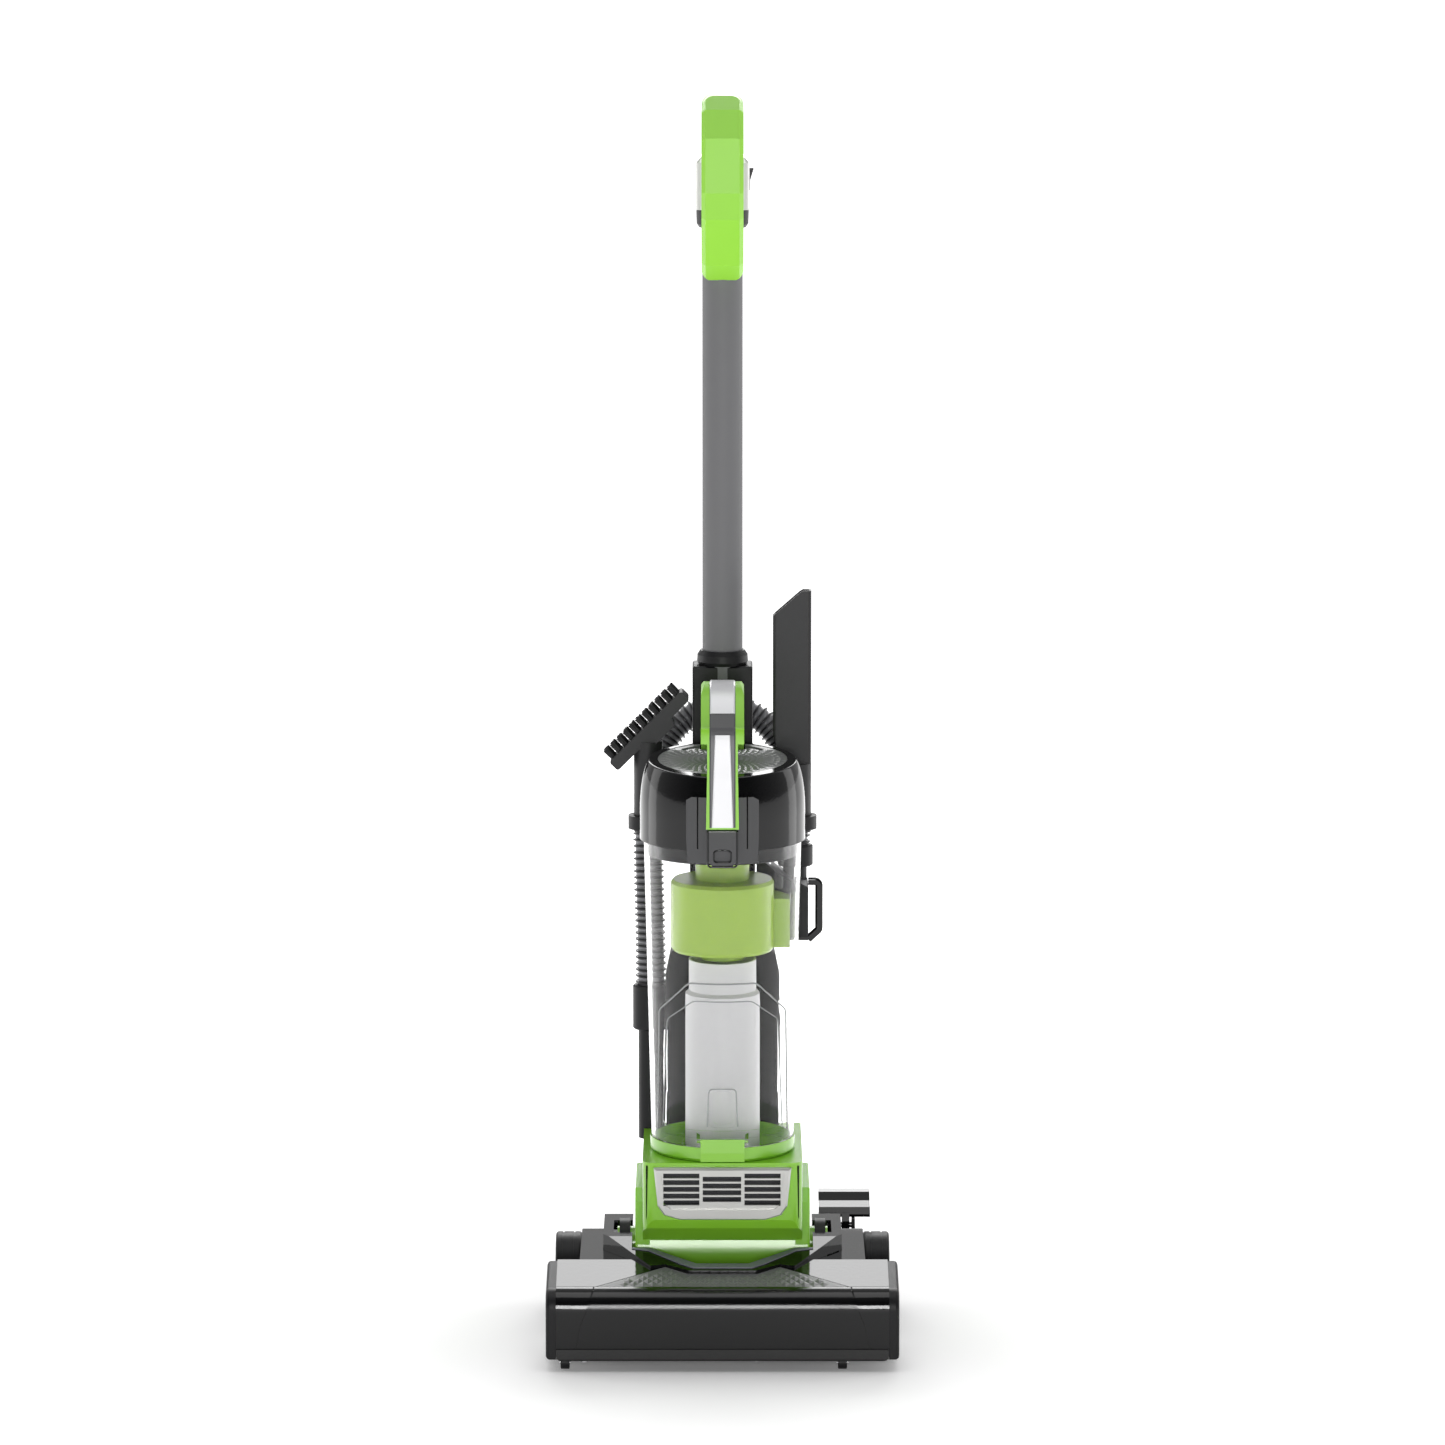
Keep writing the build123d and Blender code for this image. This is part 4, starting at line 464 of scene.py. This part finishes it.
deck_low, deck_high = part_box("deck_panel")
deck_cell_x = 0.0084
deck_cell_y = 0.0062
deck_cells = []
for row in range(int((deck_high.y - deck_low.y) / deck_cell_y) + 2):
    for column in range(int((deck_high.x - deck_low.x) / deck_cell_x * 2) + 2):
        if (row + column) % 2:
            continue
        x = deck_low.x + column * deck_cell_x / 2
        y = deck_edge_y + (row + 1) * deck_cell_y
        deck_cells.append((
            (x, y, deck_high.z),
            [(x + deck_cell_x / 2, y, deck_high.z), (x, y + deck_cell_y, deck_high.z),
             (x - deck_cell_x / 2, y, deck_high.z), (x, y - deck_cell_y, deck_high.z)],
        ))
deck_points = knurl("deck_knurl", surface_of("deck_panel"), deck_cells, 0.0011, (0.0, 0.0, -1.0))
piece("deck_knurl", deck_points, knurl_grey, "head")


# ---------------------------------------------------------------- wheels and pedal
# Rear wheels and front rollers are black mouldings that spin on steel pins.
# The release pedal is a glossy rocking plate at the right rear corner.
dress(satin_black, "rear_wheel_left", "rear_wheel_right", "front_roller_left", "front_roller_right")
dress(gloss_black, "release_pedal")


# ---------------------------------------------------------------- motor body
# Lime green glossy moulding, drum at the foot and flared above, closed at the back
# by a vented black cover. The silver grille in front lets the filtered air out.
lime_green = moulded(
    "lime_green", (0.235, 0.56, 0.032), 0.24, grain=0.0012, depth=0.04, spread=0.08, tone=0.05,
    Coat_Weight=0.3, Coat_Roughness=0.12,
)
dress(lime_green, "motor_housing")
dress(satin_black, "motor_rear_cover", "fan_housing")
silver_paint = moulded(
    "silver_paint", (0.62, 0.62, 0.60), 0.3, grain=0.0003, depth=0.08, spread=0.08, tone=0.06,
    Metallic=0.55,
)
dress(silver_paint, "exhaust_grille")
filter_foam = moulded("filter_foam", (0.05, 0.05, 0.055), 0.95, grain=0.0016, depth=0.9, tone=0.3)
dress(filter_foam, "exhaust_filter", "foam_filter")


# ---------------------------------------------------------------- motor
# Steel stack in a ring stator on ball bearings, with a pale nylon fan on its shaft.
dress(bare_steel, "motor_stator", "motor_bearings", "motor_shaft")
fan_nylon = moulded("fan_nylon", (0.6, 0.6, 0.61), 0.4, grain=0.0007, depth=0.08)
dress(fan_nylon, "fan_impeller")


# ---------------------------------------------------------------- spine, column and tube
# Black spine and square column carry the cup and hold the coated steel tube, with a
# rolled collar at each end of the tube and a rubber gland low on the back.
dress(satin_black, "column", "tube_collars")
spine_black = moulded(
    "spine_black", (0.004, 0.004, 0.0045), 0.5, grain=0.0009, depth=0.1,
    Specular_IOR_Level=0.14,
)
dress(spine_black, "body_spine")
dress(bumper_rubber, "cord_inlet")
# The coat is painted dark grey, lighter than the tube's own black, as a painted sheen standing in for the
# soft box's reflection down its middle.
tube_coat_painted_sheen = moulded(
    "tube_coat_painted_sheen", (0.15, 0.15, 0.155), 0.5, grain=0.0005, depth=0.05, spread=0.05,
    Specular_IOR_Level=0.2,
)
dress(tube_coat_painted_sheen, "handle_tube")


# ---------------------------------------------------------------- grip and switch
# Closed loop grip in satin green over the tube's top, with a silver switch housing
# behind it and a glossy black rocker on its right side.
grip_green = moulded(
    "grip_green", (0.245, 0.57, 0.034), 0.40, grain=0.0008, depth=0.07, spread=0.1, tone=0.06,
)
dress(grip_green, "handle_grip")
dress(silver_paint, "switch_housing")
dress(gloss_black, "switch_rocker")


# ---------------------------------------------------------------- hose fittings and tool rings
# Cuffs, port elbow, lower tube and the ring holder are satin black mouldings; the
# open side loop is a glossy one.
dress(satin_black, "hose_port", "lower_tube", "hose_cuffs", "tool_holder")
dress(gloss_black, "side_loop")


# ---------------------------------------------------------------- clear cup and cyclone
# Clear polycarbonate cup over a translucent green cyclone and a pale standpipe.
# The green dump door hangs on a pin at the back and latches in front.
clear_cup = moulded(
    "clear_cup", (0.99, 0.99, 0.99), 0.0, grain=0.02, depth=0.0, spread=0.0, tone=0.0,
    Transmission_Weight=1.0, IOR=1.2,
)
dress(clear_cup, "cup_shell")
cyclone_green = moulded(
    "cyclone_green", (0.50, 0.74, 0.12), 0.16, grain=0.003, depth=0.03, spread=0.05, tone=0.05,
    Transmission_Weight=0.22, IOR=1.4,
)
dress(cyclone_green, "cyclone")
pipe_grey = moulded("pipe_grey", (0.74, 0.74, 0.75), 0.34, grain=0.0008, depth=0.05)
dress(pipe_grey, "standpipe")
dress(lime_green, "dump_door", "door_latch")


# ---------------------------------------------------------------- lid and carry handle
# Glossy black dome with a fan-knurled grey disc, a smoked bracket down its front and
# an arched green carry handle that holds a pale silver inlay.
dress(gloss_black, "lid_shell")
lid_grey = moulded("lid_grey", (0.16, 0.16, 0.165), 0.34, grain=0.0006, depth=0.08, spread=0.06)
dress(lid_grey, "lid_panel")
lid_low, lid_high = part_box("lid_panel")
lid_middle = (lid_low + lid_high) / 2
lid_rings = 11
lid_spokes = 40
lid_outer = 0.0565
lid_swing = math.pi / lid_spokes
lid_half = lid_outer / lid_rings
lid_knurl_rise = 0.0009
lid_cells = []
for ring in range(2, lid_rings):
    for spoke in range(lid_spokes):
        reach = lid_outer * ring / lid_rings
        turn = 2 * math.pi * (spoke + (ring % 2) / 2) / lid_spokes
        spots = [
            (reach, turn), (reach, turn + lid_swing), (reach + lid_half, turn),
            (reach, turn - lid_swing), (reach - lid_half, turn),
        ]
        flat = [
            (lid_middle.x + away * math.cos(angle), lid_middle.y + away * math.sin(angle), lid_middle.z)
            for away, angle in spots
        ]
        lid_cells.append((flat[0], flat[1:]))
lid_points = knurl("lid_knurl", surface_of("lid_panel"), lid_cells, lid_knurl_rise, (0.0, 0.0, -1.0))
piece("lid_knurl", lid_points, lid_grey, "cup")

smoked_grey = moulded(
    "smoked_grey", (0.055, 0.055, 0.058), 0.16, grain=0.004, depth=0.012,
    Specular_IOR_Level=0.36,
)
dress(smoked_grey, "lid_bracket", "cup_release")
dress(grip_green, "carry_handle")


# ---------------------------------------------------------------- carry handle inlay
# Dark grey recess down the strap's face, a broad silver plate over its crown and a
# slim pale strip down the front that widens to the foot. All snap into the strap.
handle_surface = surface_of("carry_handle")
strap_foot_z = 0.4815
strap_pitch = 0.0033
strap_steps = 20
crown_centre = Vector((0.0, -0.030, 0.530))
crown_clear = 0.15
crown_from = 167.0
crown_pitch = 2.35
crown_steps = 36
strap_line = []
for step in range(strap_steps):
    start = Vector((0.0, -0.2, strap_foot_z + strap_pitch * step))
    strap_line.append(handle_surface.ray_cast(start, Vector((0.0, 1.0, 0.0)))[:2])
for step in range(crown_steps):
    turn = math.radians(crown_from - crown_pitch * step)
    outward = Vector((0.0, math.cos(turn), math.sin(turn)))
    strap_line.append(handle_surface.ray_cast(crown_centre + outward * crown_clear, -outward)[:2])


def inlaid(name, rows, rise, sink, finish):
    """A closed strip over rows of (place, normal, half width) on the strap's face."""
    build = bmesh.new()
    grid = []
    for place, normal, half in rows:
        across = Vector((half, 0.0, 0.0))
        grid.append([
            build.verts.new(place - across - normal * sink),
            build.verts.new(place - across + normal * rise * 0.5),
            build.verts.new(place - across * 0.9 + normal * rise),
            build.verts.new(place + across * 0.9 + normal * rise),
            build.verts.new(place + across + normal * rise * 0.5),
            build.verts.new(place + across - normal * sink),
        ])
    for low, high in zip(grid, grid[1:]):
        for index in range(6):
            after = (index + 1) % 6
            build.faces.new((low[index], low[after], high[after], high[index]))
    build.faces.new(list(reversed(grid[0])))
    build.faces.new(grid[-1])
    bmesh.ops.recalc_face_normals(build, faces=build.faces)
    mesh = bpy.data.meshes.new(name)
    build.to_mesh(mesh)
    build.free()
    return piece(name, mesh, finish, "cup")


recess_grey = moulded("recess_grey", (0.075, 0.075, 0.08), 0.35, grain=0.0008, depth=0.08)
silver_plate = moulded("silver_plate", (0.66, 0.66, 0.68), 0.30, grain=0.0003, depth=0.05, Metallic=0.2)
pale_strip = moulded("pale_strip", (0.74, 0.74, 0.76), 0.30, grain=0.0003, depth=0.04)
plate_foot_z = 0.5750
strip_top_z = 0.5640
crown_y = -0.07
inlay_half = 0.0114
plate_half = inlay_half - 0.0004
strip_foot_half = 0.0094
strip_taper = 0.0029
inlay_sink = 0.0006
recess_rise = 0.0007
plate_rise = 0.0014
recess_rows = [(spot, normal, inlay_half) for spot, normal in strap_line]
plate_rows = [
    (spot, normal, plate_half)
    for spot, normal in strap_line if spot.z > plate_foot_z or spot.y > crown_y
]
strip_rows = [
    (spot, normal, strip_foot_half - strip_taper * (spot.z - strap_foot_z) / (strip_top_z - strap_foot_z))
    for spot, normal in strap_line if spot.z < strip_top_z and spot.y < crown_y
]
handle_recess = inlaid(
    "handle_recess", recess_rows, recess_rise, inlay_sink, recess_grey,
)
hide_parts("handle_inlay")
inlaid("handle_plate", plate_rows, plate_rise, inlay_sink, silver_plate)
inlaid("handle_strip", strip_rows, plate_rise, inlay_sink, pale_strip)


# ---------------------------------------------------------------- release tab outline
# The smoked tab has a dark seam round it and a small framed window at its foot.
def seam(name, points, radius, finish, body, steps=10, sides=8):
    """A thin raised bead that follows the points."""
    line = smooth_line(points, steps)
    stations = [
        (spot, (line[min(index + 1, len(line) - 1)] - line[max(index - 1, 0)]).normalized())
        for index, spot in enumerate(line)
    ]
    mesh = tube_along(name, stations, [radius] * len(line), sides)
    return piece(name, mesh, finish, body)


tab_face_y = -0.1127
tab_bead = 0.0008
window_bead = 0.0007
tab_outline = [
    (-0.0131, 0.478), (-0.0131, 0.468), (-0.0131, 0.452), (-0.0125, 0.4455), (-0.006, 0.4455),
    (0.006, 0.4455), (0.0125, 0.4455), (0.0131, 0.452), (0.0131, 0.468), (0.0131, 0.478),
]
window_outline = [
    (0.0, 0.4606), (-0.0075, 0.4606), (-0.0077, 0.455), (-0.0075, 0.4494), (0.0, 0.4494),
    (0.0075, 0.4494), (0.0077, 0.455), (0.0075, 0.4606), (0.0, 0.4606),
]
tab_seam = [(x, tab_face_y, z) for x, z in tab_outline]
window_seam = [(x, tab_face_y, z) for x, z in window_outline]
seam("release_seam", tab_seam, tab_bead, gloss_black, "cup_button")
seam("release_window_frame", window_seam, window_bead, gloss_black, "cup_button")


# ---------------------------------------------------------------- cup arch beads
# Two fine raised beads moulded in the cup's front wall follow the arch round the
# dirt space, and a small bracket stands low in the middle.
cup_line_clear = moulded("cup_line_clear", (0.30, 0.31, 0.31), 0.12, grain=0.002, depth=0.02)
cup_axis_y = -0.030
cup_foot_z = 0.1895
cup_foot_radius = 0.0635
cup_height = 0.268
cup_flare = 0.0065
bead_proud = 0.0011
bead_step = 0.008


def on_cup(x, z, proud):
    """Point on the cup's tapered front wall."""
    radius = cup_foot_radius + cup_flare * (z - cup_foot_z) / cup_height + proud
    return (x, cup_axis_y - math.sqrt(radius * radius - x * x), z)


def bead_on_cup(name, half_outline, radius):
    """A bead over straight runs on the cup's wall, the left half mirrored to the right."""
    outline = half_outline + [(-x, z) for x, z in reversed(half_outline)]
    dense = []
    for (x0, z0), (x1, z1) in zip(outline, outline[1:]):
        steps = max(2, round(math.hypot(x1 - x0, z1 - z0) / bead_step))
        for n in range(steps):
            x = x0 + (x1 - x0) * n / steps
            z = z0 + (z1 - z0) * n / steps
            dense.append(on_cup(x, z, bead_proud))
    dense.append(on_cup(*outline[-1], bead_proud))
    seam(name, dense, radius, cup_line_clear, "cup", steps=4)


bead_on_cup("cup_arch_outer", [(-0.0575, 0.200), (-0.0560, 0.310), (-0.0300, 0.338)], 0.0007)
bead_on_cup("cup_arch_inner", [(-0.0530, 0.205), (-0.0490, 0.303), (-0.0260, 0.322)], 0.0005)
bead_on_cup("cup_bracket", [(-0.0135, 0.209), (-0.0120, 0.243)], 0.0006)


# ---------------------------------------------------------------- tools on board
# Satin black crevice tool on the right and dusting brush on the left, each pushed
# down into its ring. The brush carries two rows of soft dark nylon tufts.
tool_black = moulded(
    "tool_black", (0.020, 0.020, 0.021), 0.42, grain=0.0008, depth=0.12,
    Specular_IOR_Level=0.3,
)
dress(tool_black, "crevice_tool", "dusting_brush")

tuft_rows = 2
tuft_count = 11
tuft_pitch = 0.088 / 11
row_pitch = 0.011
tuft_strands = 26
tuft_sink = 0.0008
tuft_spread = (0.0024, 0.0036)
tuft_lean = (0.0008, 0.0009)
tuft_length = (0.0108, 0.0120)
strand_turn = 2 * math.pi * 0.618
strand_radii = (0.00065, 0.0006, 0.0004)
strand_sides = 5
corner_turns = [2 * math.pi * corner / strand_sides for corner in range(strand_sides)]
head_place = Vector((-0.0685, 0.032, 0.5487))
along_head = Vector((math.cos(math.radians(45)), 0.0, math.sin(math.radians(45))))
out_of_head = Vector((-along_head.z, 0.0, along_head.x))
across_head = Vector((0.0, 1.0, 0.0))
draw = random.Random(11)
tufts = bmesh.new()
for row in range(tuft_rows):
    for number in range(tuft_count):
        foot = (
            head_place + along_head * tuft_pitch * (number - (tuft_count - 1) / 2)
            + across_head * row_pitch * (row - 0.5) - out_of_head * tuft_sink
        )
        for strand in range(tuft_strands):
            turn = strand_turn * strand
            reach = math.sqrt((strand + 0.5) / tuft_strands)
            along = along_head * reach * math.cos(turn)
            across = across_head * reach * math.sin(turn)
            root = foot + along * tuft_spread[0] + across * tuft_spread[1]
            lean = along * tuft_lean[0] + across * tuft_lean[1]
            tip = root + out_of_head * draw.uniform(*tuft_length) + lean
            rings = []
            for place, thick in zip((root, (root + tip) / 2 + lean * 0.2, tip), strand_radii):
                rings.append([
                    tufts.verts.new(
                        place + (along_head * math.cos(side) + across_head * math.sin(side)) * thick
                    )
                    for side in corner_turns
                ])
            for low, high in zip(rings, rings[1:]):
                for corner in range(strand_sides):
                    after = (corner + 1) % strand_sides
                    tufts.faces.new((low[corner], low[after], high[after], high[corner]))
            tufts.faces.new(list(reversed(rings[0])))
            tufts.faces.new(rings[-1])
bmesh.ops.recalc_face_normals(tufts, faces=tufts.faces)
tuft_mesh = bpy.data.meshes.new("dusting_tufts")
tufts.to_mesh(tuft_mesh)
tufts.free()
dusting_nylon = moulded("dusting_nylon", (0.012, 0.012, 0.013), 0.42, grain=0.0004, depth=0.2, tone=0.4)
dusting_tufts = piece("dusting_tufts", tuft_mesh, dusting_nylon, "duster")
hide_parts("dusting_bristles")
